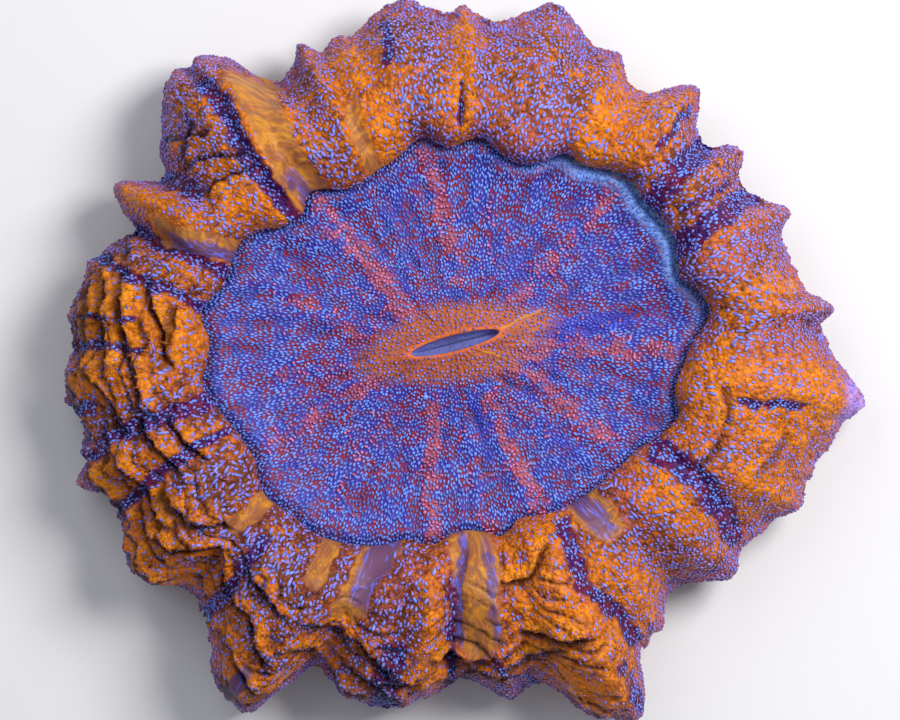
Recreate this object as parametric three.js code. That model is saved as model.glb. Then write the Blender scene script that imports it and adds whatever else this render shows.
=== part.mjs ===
// A doughnut coral: one fleshy polyp, grown in one piece and cut off flat where it stood on the sea bed.
// From the middle outwards it has a slit mouth, a ridged oral disc, and a thick folded mantle whose
// hem hangs over a short stony foot.
// Millimetres and degrees. +Z is up, +X is the long way, and the origin is on the flat cut, under the
// middle of the whole. Angles turn counter-clockwise from +X, and radii are measured in plan from the
// middle of the mouth, which is a little off that origin.
import * as THREE from "three";

// Driving dimensions
const DISC_HEIGHT = 27; // the oral disc at its edge, above the cut
const DISC_BOWL = 3.2; // how far the disc dishes below its edge
const LIP_HEIGHT = 4.2; // the raised ground round the mouth, above the bowl
const CREST_HEIGHT = 39; // the top of the mantle
const HEM_HEIGHT = 8.5; // the lowest edge of the flesh, on the average
const HEM_CLEARANCE = 3; // the least height of that edge above the cut
const MOUTH_LENGTH = 20;
const MOUTH_WIDTH = 3.6;
const MOUTH_TURN = 14.5;
const MOUTH_DEPTH = 3;
const CREASE = -1.4; // the height of the crease round the disc, against the disc's edge
const FOOT_LENGTH = 102; // the flat cut, along X
const FOOT_WIDTH = 90;
const COLUMNS = 156; // columns of points round the coral

// The outer edge of the flesh: [angle, radius]. Each tip is a fold of the mantle.
const HEM = [
  [0, 85], [3, 83.9], [5.3, 85.7], [8, 81.6], [11, 80.5], [15, 79.1], [19, 79.1], [21.5, 80.9],
  [24, 78.4], [27, 76.4], [30.5, 75.7], [34, 78.4], [37, 75], [40, 74.1], [43, 75.2], [46.5, 77.9],
  [49, 76.4], [52, 73.6], [57, 73], [60, 75.9], [64, 75], [67.5, 76], [73, 79.2], [76.5, 77.8],
  [79, 75.9], [83, 74.3], [88, 75.7], [92.5, 75.5], [98, 77.9], [103, 77.1], [107, 75], [111, 75],
  [115, 74.3], [117.5, 76.7], [120, 74.6], [124, 74.6], [126, 78], [128, 82], [131, 85.3],
  [135, 86.7], [138.5, 86.9], [142, 84.5], [146, 82.1], [148.5, 79.8], [152, 80], [155, 84.6],
  [157.3, 82.6], [160, 79.9], [164, 82.2], [167, 85], [172, 86.6], [176, 88.1], [180, 86.9],
  [185, 89.5], [190, 88.2], [194, 87.6], [198, 89.3], [200, 90.8], [203, 88.2], [206.5, 86.2],
  [211, 88], [215, 89.4], [218.5, 88], [222, 84.6], [226, 85.5], [229, 87.4], [232, 89.6],
  [235, 92.8], [238, 94.3], [241.5, 92.3], [244, 87], [246.5, 83.6], [250, 84.4], [254, 85],
  [258, 84], [261, 83.7], [265, 80.9], [269, 78.9], [272, 78.2], [275, 79.6], [279, 81.9],
  [283, 80.7], [286, 82.4], [289, 87.5], [292, 90.2], [295, 92.3], [297.5, 90.4], [300, 85.2],
  [303, 82.3], [306, 81.2], [309, 78.7], [312, 78], [316, 79.6], [320, 82.3], [324, 81.4],
  [328, 82.3], [331, 83.4], [334, 86.5], [338, 86.6], [343, 87.6], [348, 89.6], [351.5, 92.3],
  [354, 90.4], [357, 87.1],
];

// The crease where the disc ends and the mantle begins: [angle, radius].
const DISC_EDGE = [
  [0, 54.3], [5, 57.9], [8, 58.6], [12, 56.8], [16, 53.8], [20, 54.2], [25, 55.4], [31, 55],
  [37, 54], [43, 55], [49, 52.7], [54, 50.2], [60, 50.2], [65, 45.6], [70, 44], [76, 44.7],
  [83, 47.4], [92, 44.9], [99, 47.9], [106, 44.9], [115, 43.3], [124, 42.9], [134, 47.9],
  [140, 45.8], [145, 47], [150, 51.5], [154, 54], [160, 54.3], [167, 55.2], [173, 58.6],
  [179, 56.3], [184, 56.8], [189, 58.4], [195, 56.5], [202, 54], [210, 53.1], [218, 55.6],
  [227, 54.3], [233, 54.3], [242, 52.2], [249, 49.7], [256, 46.5], [264, 46.5], [270, 43.4],
  [278, 43.7], [284, 45.6], [290, 43.1], [298, 44.7], [306, 45.6], [318, 46.7], [330, 48.6],
  [337, 52], [342, 53.8], [348, 51.5], [354, 52.5],
];

// Folds that run outwards across the mantle: height is negative for a cleft.
// The path holds [radius, angle] from the crease outwards.
const FOLDS = [
  { height: 1.5, width: 3.2, path: [[57, 9], [66, 10], [74, 8.5], [82, 6]] },
  { height: -1.0, width: 3.2, path: [[55, 24], [70, 25.5], [77, 27]] },
  { height: -1.3, width: 3.2, path: [[54, 36.5], [62, 38], [75, 39]] },
  { height: 1.2, width: 3.4, path: [[56, 44], [66, 46], [77, 46.5]] },
  { height: -1.2, width: 3.6, path: [[56, 54.5], [74, 54]] },
  { height: 1.6, width: 2.8, path: [[47, 86.5], [60, 86.2], [75, 88.5]] },
  { height: -2.8, width: 3.6, path: [[47, 134], [62, 131], [70, 129], [80, 126.5]] },
  { height: 1.5, width: 2.8, path: [[52, 137], [66, 133.5], [74, 130.5]] },
  { height: -2.4, width: 3.2, path: [[46, 142], [57, 139], [68, 136], [78, 134.5], [85, 135]] },
  { height: -2.0, width: 3.0, path: [[64, 150], [80, 150.5]] },
  { height: -2.8, width: 2.4, path: [[53, 164], [60, 162.5], [68, 161.5], [80, 160.5]] },
  { height: -1.5, width: 2.2, path: [[58, 172], [66, 169.5], [78, 167.5], [84, 166]] },
  { height: -1.6, width: 2.4, path: [[59, 193], [72, 194], [78, 195.5], [88, 198]] },
  { height: -1.3, width: 2.2, path: [[56, 201.5], [68, 203], [85, 206.3]] },
  { height: -2.2, width: 2.8, path: [[54, 219], [66, 221], [78, 222]] },
  { height: -1.6, width: 2.4, path: [[61, 226], [76, 227.5], [86, 227.5]] },
  { height: 1.8, width: 3.0, path: [[62, 240], [82, 241.5], [92, 240]] },
  { height: -2.6, width: 4.2, path: [[48, 252], [56, 250.5], [72, 248], [83, 247]] },
  { height: 2.0, width: 3.4, path: [[46, 264.5], [66, 264.5], [78, 265]] },
  { height: -2.0, width: 2.4, path: [[43, 271.5], [52, 269.5], [72, 269]] },
  { height: 1.7, width: 4.6, path: [[44, 292], [60, 292], [86, 294]] },
  { height: -1.4, width: 2.6, path: [[47, 302], [64, 298], [70, 300.5], [84, 301]] },
  { height: -1.8, width: 4.6, path: [[45, 311], [62, 312.5], [78, 312]] },
  { height: -1.8, width: 2.8, path: [[49, 331], [62, 331], [76, 327.5]] },
];

// Ledges that step down outwards across the mantle, like the edge of a tile.
// The path holds [angle, radius] round the coral.
const LEDGES = [
  { drop: 1.8, path: [[167, 80], [171, 78.8], [178, 77.2], [183, 77]] },
  { drop: 2.0, path: [[169, 74.8], [172, 74], [176, 73.3], [180, 72]] },
  { drop: 1.3, path: [[170, 82.6], [177, 82], [183, 82.8]] },
  { drop: 1.6, path: [[170, 68.2], [174, 66.5], [178, 64], [182, 63.5]] },
  { drop: 1.6, path: [[183, 83.5], [187, 80], [190, 77], [194, 76]] },
  { drop: 1.6, path: [[186, 87], [190, 85.5], [194, 84.8]] },
  { drop: 2.0, path: [[195, 71.4], [199, 69.5], [204, 67]] },
  { drop: 2.3, path: [[195, 80], [200, 78.3], [206, 76], [211, 75.7]] },
  { drop: 2.0, path: [[197, 87], [203, 85], [207, 83.6]] },
  { drop: 1.4, path: [[196, 64.8], [200, 63.3], [204, 60.5]] },
  { drop: 1.3, path: [[209, 73], [214, 70.6], [216.7, 67.6], [218, 64]] },
  { drop: 1.9, path: [[211, 80.5], [216, 77.5], [218.5, 73], [221, 69.5], [223.5, 71]] },
  { drop: 2.6, path: [[206, 86], [210, 85.5], [216, 86.6], [221, 83.5]] },
  { drop: 2.2, path: [[227, 86], [230.5, 82.5], [234, 83], [239, 86.5]] },
  { drop: 2.0, path: [[228, 76], [232, 75.2], [235, 76.4], [239, 80.5]] },
  { drop: 1.6, path: [[228.5, 68], [233, 69], [237, 70.5]] },
  { drop: 1.9, path: [[243, 75.5], [247, 78.7], [253, 82.8]] },
  { drop: 2.1, path: [[253.5, 70], [258, 73.5], [262.5, 76]] },
  { drop: 2.6, path: [[267.5, 70.2], [272, 70.8], [276, 70.6], [281, 69.2]] },
  { drop: 1.5, path: [[284, 66], [289, 68.3], [293, 69.8]] },
  { drop: 1.8, path: [[283, 80], [288, 83], [292, 88]] },
  { drop: 1.5, path: [[140, 59], [144, 62], [148, 64.5]] },
  { drop: 2.0, path: [[158.5, 81.5], [162, 78], [164, 75.5]] },
];

// Low ridges of swollen tentacle bases on the disc, one along each large septum below it.
// The path holds [radius, angle].
const DISC_RIDGES = [
  { height: 1.0, path: [[14, 352], [24, 358], [50, 358]] },
  { height: 1.0, path: [[16, 36], [30, 40], [52, 44]] },
  { height: 0.9, path: [[16, 56], [28, 66], [44, 68]] },
  { height: 1.1, path: [[10, 84], [22, 92], [44, 98]] },
  { height: 1.2, path: [[12, 148], [26, 138], [44, 134]] },
  { height: 1.0, path: [[18, 178], [28, 168], [50, 161]] },
  { height: 0.8, path: [[18, 204], [30, 207], [50, 209]] },
  { height: 0.8, path: [[20, 227], [30, 230], [48, 235]] },
  { height: 1.2, path: [[12, 246], [24, 258], [44, 263.5]] },
  { height: 0.6, path: [[18, 276], [40, 280]] },
  { height: 1.2, path: [[12, 303], [24, 297], [43, 297.5]] },
  { height: 0.6, path: [[18, 315], [40, 313]] },
  { height: 1.0, path: [[14, 338], [28, 331], [46, 328]] },
];

const rad = THREE.MathUtils.degToRad;
const smooth = (x) => THREE.MathUtils.smoothstep(x, 0, 1);
const mix = THREE.MathUtils.lerp;

// A smooth closed curve through [angle, value] points: a cubic Hermite between neighbours.
function ringCurve(points) {
  const n = points.length;
  const at = (i) => {
    const turn = Math.floor(i / n);
    const [angle, value] = points[i - turn * n];
    return [angle + 360 * turn, value];
  };
  const slope = (i) => (at(i + 1)[1] - at(i - 1)[1]) / (at(i + 1)[0] - at(i - 1)[0]);
  return (angle) => {
    const a = ((angle % 360) + 360) % 360;
    let i = n - 1;
    while (i >= 0 && points[i][0] > a) i -= 1;
    const [a0, v0] = at(i);
    const [a1, v1] = at(i + 1);
    const gap = a1 - a0;
    const s = (a - a0) / gap;
    const h = s * s * (3 - 2 * s);
    return mix(v0, v1, h)
      + gap * (s * (1 - s) ** 2 * slope(i) - s * s * (1 - s) * slope(i + 1));
  };
}

// A path's second number at x, and how strongly the path counts there: it fades out past its ends.
function along(path, x, fade) {
  const last = path.length - 1;
  const beyond = Math.max(path[0][0] - x, x - path[last][0], 0);
  let i = 0;
  while (i < last - 1 && x > path[i + 1][0]) i += 1;
  const s = (x - path[i][0]) / (path[i + 1][0] - path[i][0]);
  return { value: mix(path[i][1], path[i + 1][1], s), weight: 1 - smooth(beyond / fade) };
}

const hemRadius = ringCurve(HEM);
const discRadius = ringCurve(DISC_EDGE);

// The hem with its tips and notches smoothed away, so that what is left over marks the folds.
function calmHemRadius(angle) {
  const reach = 14;
  const steps = 7;
  let sum = 0;
  for (let k = -steps; k <= steps; k += 1) sum += hemRadius(angle + (k * reach) / steps);
  return sum / (2 * steps + 1);
}

// The turn from one angle to another, the short way round.
function turnBetween(from, to) {
  return ((((to - from) % 360) + 540) % 360) - 180;
}

const FOLD_FADE = 5;
const LEDGE_FADE = 4;
const RIDGE_FADE = 8;
const RIDGE_WIDTH = 2.6;
const TIP_RAISE = 0.5; // how far each tip of the hem stands up as a fold, for its reach outwards

// The height of every fold at a place on the mantle.
function foldHeight(angle, radius) {
  let sum = 0;
  for (const { height, width, path } of FOLDS) {
    const { value, weight } = along(path, radius, FOLD_FADE);
    const across = (rad(turnBetween(value, angle)) * radius) / width;
    sum += height * weight * Math.exp(-across * across);
  }
  return sum;
}

// A ledge rises to a lip on its inner side and drops to a gap on its outer side.
function ledgeHeight(angle, radius) {
  const lipPlace = 1.4;
  const lipWidth = 2.3;
  const gapPlace = 1.3;
  const gapWidth = 2;
  const lipShare = 0.6;
  let sum = 0;
  for (const { drop, path } of LEDGES) {
    const { value, weight } = along(path, angle, LEDGE_FADE);
    const beyond = radius - value;
    const lip = Math.exp(-(((beyond + lipPlace) / lipWidth) ** 2));
    const gap = Math.exp(-(((beyond - gapPlace) / gapWidth) ** 2));
    sum += drop * weight * (lipShare * lip - gap);
  }
  return sum;
}

function discRidgeHeight(angle, radius) {
  let sum = 0;
  for (const { height, path } of DISC_RIDGES) {
    const { value, weight } = along(path, radius, RIDGE_FADE);
    const across = (rad(turnBetween(value, angle)) * radius) / RIDGE_WIDTH;
    sum += height * weight * Math.exp(-across * across);
  }
  return sum;
}

// The mantle swells more on its lower left, where the flesh hangs over its own folds.
function swell(angle) {
  return 0.5 + 0.5 * Math.cos(rad(angle - 235));
}

// A point on the rim of the mouth, drawn in or out by scale.
function mouthPoint(angle, scale) {
  const a = rad(angle - MOUTH_TURN);
  const x = (MOUTH_LENGTH / 2) * scale * Math.cos(a);
  const y = (MOUTH_WIDTH / 2) * scale * Math.sin(a);
  const turn = rad(MOUTH_TURN);
  return [x * Math.cos(turn) - y * Math.sin(turn), x * Math.sin(turn) + y * Math.cos(turn)];
}

// The disc, from the lip of the mouth (share 0) to the crease (share 1).
function discPoint(angle, share) {
  const [mx, my] = mouthPoint(angle, 1);
  const edge = discRadius(angle);
  const x = mix(mx, edge * Math.cos(rad(angle)), share);
  const y = mix(my, edge * Math.sin(rad(angle)), share);
  const radius = Math.hypot(x, y);
  const bowl = -DISC_BOWL * (1 - share ** 4);
  const lip = LIP_HEIGHT * Math.exp(-((share / 0.22) ** 1.5));
  const rimPlace = 0.92;
  const rim = 1.1 * Math.exp(-(((share - rimPlace) / 0.07) ** 2));
  const crease = CREASE * smooth((share - rimPlace) / (1 - rimPlace));
  const ridge = discRidgeHeight((Math.atan2(y, x) * 180) / Math.PI, radius);
  const fade = smooth(share / 0.2) * smooth((1 - share) / 0.12);
  return new THREE.Vector3(x, y, DISC_HEIGHT + bowl + lip + rim + crease + ridge * fade);
}

// The mantle's outline in a cut through one angle, from the crease, over the crest, round the hem
// and back under to the foot. Each entry is [radius, height].
function mantleCut(angle) {
  const inner = discRadius(angle);
  const outer = hemRadius(angle);
  const wide = outer - inner;
  const swollen = swell(angle);
  const tip = outer - calmHemRadius(angle);
  const top = CREST_HEIGHT - 2 * (1 - swollen) + 0.7 * Math.sin(rad(3 * angle + 40));
  const wave = Math.sin(rad(5 * angle)) + 0.6 * Math.sin(rad(11 * angle + 70));
  const hem = Math.max(HEM_HEIGHT - 6 * (swollen - 0.5) + wave - 0.3 * tip, HEM_CLEARANCE);
  const foot = Math.hypot(
    (FOOT_LENGTH / 2) * Math.cos(rad(angle)),
    (FOOT_WIDTH / 2) * Math.sin(rad(angle)),
  );
  return [
    [inner, DISC_HEIGHT + CREASE],
    [inner - 0.9, DISC_HEIGHT + 2.2],
    [inner + 0.05 * wide, DISC_HEIGHT + 7],
    [inner + 0.2 * wide, top - 0.9],
    [inner + 0.4 * wide, top - 0.5],
    [inner + 0.6 * wide, top - 4],
    [inner + 0.8 * wide, top - 10.5],
    [inner + 0.93 * wide, top - 17.5],
    [outer - 0.2, hem + 6],
    [outer - 0.5, hem + 2.4],
    [outer - 2.4, hem],
    [outer - 6.5, hem + 0.6],
    [mix(foot, outer, 0.45), hem + 3.5],
    [foot + 3.5, hem + 5],
    [foot + 0.3, 7],
    [foot + 1.2, 0],
  ];
}

// A point on that cut. Whole numbers of place are its entries, rounded off into one curve.
function cutPoint(cut, place) {
  const last = cut.length - 1;
  const i = Math.min(Math.floor(place), last - 1);
  const s = place - i;
  const entry = (k) => cut[THREE.MathUtils.clamp(k, 0, last)];
  const blend = [0, 1].map((c) => {
    const [p0, p1, p2, p3] = [entry(i - 1)[c], entry(i)[c], entry(i + 1)[c], entry(i + 2)[c]];
    const bend = (2 * p0 - 5 * p1 + 4 * p2 - p3) * s * s + (3 * p1 - p0 - 3 * p2 + p3) * s ** 3;
    return p1 + 0.5 * ((p2 - p0) * s + bend);
  });
  return blend;
}

// Folds and ledges start above the crease and fade out where the flesh is widest.
const FOLDED_FROM = 1;
const WIDEST = 8;
const FOLDED_FADE = 1.8;

// A point of the mantle with its folds and ledges standing out from the smooth form.
function mantlePoint(angle, place) {
  const cut = mantleCut(angle);
  const [radius, height] = cutPoint(cut, place);
  const step = 0.05;
  const [r0, z0] = cutPoint(cut, Math.max(place - step, 0));
  const [r1, z1] = cutPoint(cut, place + step);
  const length = Math.hypot(r1 - r0, z1 - z0);
  const on = smooth((place - FOLDED_FROM) / FOLDED_FADE) * smooth((WIDEST - place) / FOLDED_FADE);
  const outwards = smooth(place / WIDEST);
  const tips = TIP_RAISE * outwards * (hemRadius(angle) - calmHemRadius(angle));
  const raise = on * (foldHeight(angle, radius) + ledgeHeight(angle, radius) + tips);
  const r = radius + (raise * -(z1 - z0)) / length;
  const z = height + (raise * (r1 - r0)) / length;
  return new THREE.Vector3(r * Math.cos(rad(angle)), r * Math.sin(rad(angle)), z);
}

// The columns of points: one at each point of the hem, and more where those are widest apart.
function columnAngles() {
  const angles = HEM.map(([angle]) => angle);
  const gapAfter = (i) => (i + 1 < angles.length ? angles[i + 1] : 360) - angles[i];
  while (angles.length < COLUMNS) {
    let widest = 0;
    for (let i = 1; i < angles.length; i += 1) if (gapAfter(i) > gapAfter(widest)) widest = i;
    angles.splice(widest + 1, 0, angles[widest] + gapAfter(widest) / 2);
  }
  return angles;
}

// Rings of points from the bottom of the mouth out over the flesh and in under it to the cut.
// The disc and the underside are smooth enough for every second column.
function rings(angles) {
  const sparse = angles.filter((_, i) => i % 2 === 0);
  const lip = DISC_HEIGHT - DISC_BOWL + LIP_HEIGHT;
  const pocket = (scale, depth) => (angle) =>
    new THREE.Vector3(...mouthPoint(angle, scale), lip - depth);
  const disc = (share) => (angle) => discPoint(angle, share);
  const mantle = (place) => (angle) => mantlePoint(angle, place);
  return [
    sparse.map(pocket(0.35, MOUTH_DEPTH)),
    sparse.map(pocket(0.8, 0.8 * MOUTH_DEPTH)),
    ...[0, 0.07, 0.2, 0.36, 0.52, 0.68, 0.82, 0.92].map((share) => sparse.map(disc(share))),
    ...[0, 1, 2, 3, 3.35, 3.7].map((place) => angles.map(mantle(place))),
    ...[4, 4.3, 4.55, 4.8, 5.05, 5.3, 5.55, 5.8].map((place) => angles.map(mantle(place))),
    ...[6.05, 6.3, 6.55, 6.8, 7.1, 7.5, 8, 9].map((place) => angles.map(mantle(place))),
    ...[10, 11, 12, 13, 14, 15].map((place) => sparse.map(mantle(place))),
  ];
}

// Triangles between a ring and the next one out, which may have twice or half as many points.
function band(points, inner, outer) {
  const faces = [];
  const pairs = Math.min(inner.length, outer.length);
  const of = (ring, c) => ring[c % ring.length];
  for (let c = 0; c < pairs; c += 1) {
    if (inner.length < outer.length) {
      const [a, d] = [of(inner, c), of(inner, c + 1)];
      const [b, m, e] = [of(outer, 2 * c), of(outer, 2 * c + 1), of(outer, 2 * c + 2)];
      faces.push(a, b, m, a, m, d, d, m, e);
    } else if (inner.length > outer.length) {
      const [a, m, d] = [of(inner, 2 * c), of(inner, 2 * c + 1), of(inner, 2 * c + 2)];
      const [b, e] = [of(outer, c), of(outer, c + 1)];
      faces.push(a, b, m, m, b, e, m, e, d);
    } else {
      const [a, d] = [of(inner, c), of(inner, c + 1)];
      const [b, e] = [of(outer, c), of(outer, c + 1)];
      const across = points[a].distanceTo(points[e]) < points[b].distanceTo(points[d]);
      faces.push(...(across ? [a, b, e, a, e, d] : [a, b, d, b, e, d]));
    }
  }
  return faces;
}

// One closed skin over the rings, with a fan over the floor of the mouth and one over the cut.
function coralGeometry() {
  const made = rings(columnAngles());
  const points = made.flat();
  let next = 0;
  const indices = made.map((ring) => ring.map(() => next++));
  const faces = indices.slice(1).flatMap((ring, r) => band(points, indices[r], ring));
  const middle = (ring) =>
    ring.reduce((sum, p) => sum.add(p), new THREE.Vector3()).divideScalar(ring.length);
  const fan = (ring, turned) => {
    const centre = points.push(middle(made[ring])) - 1;
    const rim = indices[ring];
    rim.forEach((a, c) => {
      const b = rim[(c + 1) % rim.length];
      faces.push(...(turned ? [centre, b, a] : [centre, a, b]));
    });
  };
  fan(0, false);
  fan(made.length - 1, true);

  const geometry = new THREE.BufferGeometry().setFromPoints(points);
  geometry.setIndex(faces);
  geometry.computeBoundingBox();
  const centre = geometry.boundingBox.getCenter(new THREE.Vector3());
  geometry.translate(-centre.x, -centre.y, 0);
  geometry.computeVertexNormals();
  return geometry;
}

const flesh = new THREE.MeshStandardMaterial({ color: 0xd0761c, roughness: 0.55, metalness: 0 });
const coral = new THREE.Mesh(coralGeometry(), flesh);
coral.name = "doughnut_coral";

const model = new THREE.Group();
model.add(coral);

export default model;
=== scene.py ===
import math

import bpy
import numpy as np
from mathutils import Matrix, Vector, noise


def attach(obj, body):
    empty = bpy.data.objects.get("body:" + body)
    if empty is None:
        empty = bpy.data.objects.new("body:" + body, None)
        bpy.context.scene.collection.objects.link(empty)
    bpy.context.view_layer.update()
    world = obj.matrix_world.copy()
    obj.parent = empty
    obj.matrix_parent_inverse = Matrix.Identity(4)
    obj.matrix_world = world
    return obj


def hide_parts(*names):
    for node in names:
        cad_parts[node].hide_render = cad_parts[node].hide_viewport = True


# A doughnut coral, seen from straight above: a slit mouth in a beaded blue disc, and a thick
# folded orange mantle round it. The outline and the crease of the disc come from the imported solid.
# Lengths are millimetres until the meshes are made. Angles are degrees, counter-clockwise from +X,
# and radii are measured in plan from the middle of the mouth.

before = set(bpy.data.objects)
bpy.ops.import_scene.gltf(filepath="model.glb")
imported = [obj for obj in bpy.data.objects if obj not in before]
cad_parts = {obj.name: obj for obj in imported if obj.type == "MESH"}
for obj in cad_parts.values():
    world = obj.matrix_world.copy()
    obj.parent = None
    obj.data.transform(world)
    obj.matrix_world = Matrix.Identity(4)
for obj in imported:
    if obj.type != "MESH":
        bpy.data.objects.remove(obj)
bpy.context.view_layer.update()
mm = 0.001
print("frame loaded")

disc = {
    "edgeHeight": 27.0,      # the disc at its edge, above the cut
    "bowl": 3.2,             # how far it dishes
    "lipHeight": 4.2,        # the ground round the mouth
    "crease": -1.4,
    "rimHeight": 1.1,
    "mouthLength": 20.6,
    "mouthWidth": 3.7,
    "mouthTurn": 14.5,
    "mouthDepth": 3.0,
}

mantle = {
    "crest": 39.0,
    "hem": 8.5,
    "hemClearance": 3.0,
    "tipRaise": 0.5,         # how far a tip of the hem stands up, for its reach outwards
    "roughFrom": 158.0,      # the side whose flesh hangs in ledges and lumps
    "roughTo": 306.0,
    "terrace": 3.6,          # from one small ledge to the next
    "terraceHeight": 1.35,
}

foot = {"length": 102.0, "width": 90.0, "ribs": 72, "ribDepth": 0.5}

# Folds that run outwards over the mantle: height, half width, path of [radius, angle]. Where the
# height is negative, it is a cleft.
folds = [
    (1.2, 3.0, [[58, 9], [66, 10], [74, 8.5], [82, 6]]),
    (-0.9, 3.0, [[55, 24], [70, 25.5], [77, 27]]),
    (-0.6, 1.3, [[58, 31], [66, 30.5], [72, 30]]),
    (-1.2, 3.0, [[54, 36.5], [62, 38], [75, 39]]),
    (1.2, 3.4, [[56, 44], [66, 46], [77, 46.5]]),
    (-0.7, 1.3, [[64, 44], [72, 45]]),
    (-1.1, 3.2, [[56, 54.5], [74, 54]]),
    (1.5, 2.4, [[47, 86.5], [60, 86.2], [75, 88.5]]),
    (-1.6, 0.8, [[50, 89], [57, 88.5]]),
    (-0.8, 1.6, [[44, 113], [52, 115], [60, 114]]),
    (-2.6, 3.5, [[47, 134], [55, 132.5], [62, 131], [70, 129], [80, 126.5]]),
    (1.4, 2.4, [[52, 137], [66, 133.5], [74, 130.5]]),
    (-2.6, 1.8, [[46, 142], [57, 139], [62, 138], [68, 136], [78, 134], [84, 134.5]]),
    (-2.4, 2.4, [[70, 126], [78, 126.5]]),
    (-1.8, 2.6, [[64, 150], [80, 150.5]]),
    (-3.0, 2.1, [[53, 164], [60, 162.5], [68, 161.5], [80, 160.5]]),
    (-1.4, 1.4, [[58, 172], [66, 169.5], [72, 168.7], [84, 166]]),
    (-1.5, 1.9, [[59, 193], [66, 194.5], [72, 194], [78, 195.5], [88, 198]]),
    (-1.2, 1.3, [[56, 201.5], [62, 202], [68, 203], [76, 205], [85, 206.3]]),
    (-2.1, 2.4, [[54, 219], [60, 219.5], [66, 221], [78, 222]]),
    (-1.5, 1.8, [[61, 226], [68, 226.5], [76, 227.5], [86, 227.5]]),
    (1.7, 2.6, [[62, 240], [72, 241], [82, 241.5], [91, 240.5]]),
    (-2.4, 3.9, [[48, 252], [56, 250.5], [64, 249.5], [72, 248], [83, 247]]),
    (-1.3, 1.4, [[58, 258], [66, 258]]),
    (1.9, 3.1, [[46, 264.5], [66, 264.5], [78, 265]]),
    (-2.0, 2.1, [[43, 271.5], [52, 269.5], [60, 270], [66, 269.5], [72, 269]]),
    (-0.9, 1.3, [[44, 281.5], [52, 281], [60, 281]]),
    (1.6, 4.6, [[44, 292], [60, 292], [70, 291.5], [86, 294]]),
    (-1.4, 1.9, [[47, 302], [56, 300.5], [64, 297], [70, 300.5], [84, 301]]),
    (-1.6, 4.4, [[45, 311], [52, 312], [62, 312.5], [78, 312]]),
    (-1.8, 2.3, [[49, 331], [56, 332], [62, 331], [68, 329.5], [76, 327.5]]),
    (-0.8, 1.4, [[66, 348.5], [78, 349.5]]),
]

# Ledges that step down outwards: drop, path of [angle, radius].
ledges = [
    (1.8, [[167, 80], [171, 78.8], [174, 78.2], [178, 77.2], [183, 77]]),
    (2.0, [[169, 74.8], [172, 74], [176, 73.3], [180, 72]]),
    (1.3, [[170, 82.6], [177, 82], [183, 82.8]]),
    (1.0, [[172, 85], [181, 84.6]]),
    (1.7, [[170, 68.2], [174, 66.5], [178, 64], [182, 63.5]]),
    (0.9, [[174, 62.4], [180, 62.3], [184, 63]]),
    (1.6, [[183, 83.5], [187, 80], [190, 77], [194, 76]]),
    (1.5, [[186, 87], [190, 85.5], [194, 84.8]]),
    (1.2, [[183, 72], [188, 70.5], [192, 70]]),
    (2.0, [[195, 71.4], [199, 69.5], [204, 67]]),
    (2.3, [[195.5, 80], [200, 78.3], [206, 76], [211, 75.7]]),
    (2.0, [[197, 87], [203, 85], [207, 83.6]]),
    (1.4, [[196, 64.8], [200, 63.3], [204, 60.5]]),
    (1.3, [[208, 73.5], [214, 70.6], [216.7, 67.6], [218, 64]]),
    (1.9, [[211, 80.5], [216, 77.5], [218.5, 73], [221, 69.5], [223.5, 71], [226, 75]]),
    (2.7, [[206, 86], [210, 85.5], [213.4, 86.2], [216, 86.6], [221, 83.5]]),
    (2.3, [[227, 86.5], [230.5, 82.5], [234, 83], [237, 85], [240, 87]]),
    (2.0, [[228, 76], [232, 75.2], [235, 76.4], [239, 80.5]]),
    (1.7, [[228.5, 68], [233, 69], [237, 70.5]]),
    (1.1, [[231, 90.5], [240, 90.5]]),
    (1.9, [[243, 75.5], [247, 78.7], [250, 80.3], [253, 82.8]]),
    (1.1, [[242.5, 69.3], [246, 70], [249.5, 71.2]]),
    (2.2, [[253.5, 70], [258, 73.5], [262.5, 76]]),
    (1.6, [[255.5, 77.3], [259, 79], [262.5, 81.3]]),
    (2.6, [[267.5, 70.2], [272, 70.8], [276, 70.6], [281, 69.2]]),
    (1.4, [[269, 76.3], [274, 74.5], [278, 75.3]]),
    (0.9, [[280.5, 73], [285, 72.5], [288.5, 70.8]]),
    (1.5, [[284.5, 66.3], [289, 68.3], [293, 69.8]]),
    (1.7, [[283, 80], [288, 83], [292, 88]]),
    (1.0, [[282.5, 53.5], [288, 54], [293.5, 49.3]]),
    (0.8, [[333.5, 60.3], [337, 61.5], [340.5, 62.2]]),
    (0.7, [[343.5, 62.2], [347, 61.5], [349.5, 60.3]]),
    (0.6, [[336.5, 73.3], [343.5, 75.6]]),
    (1.3, [[140.5, 59], [144, 62], [148, 64.5]]),
    (1.4, [[140.6, 71.4], [142.5, 74.5], [144.6, 78.3]]),
    (1.2, [[139.5, 62.5], [143.7, 68.5], [147, 71.5]]),
    (1.1, [[141.5, 74.7], [145.5, 73.3]]),
    (2.0, [[158.5, 81.5], [162, 78], [164, 75.5]]),
]

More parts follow.
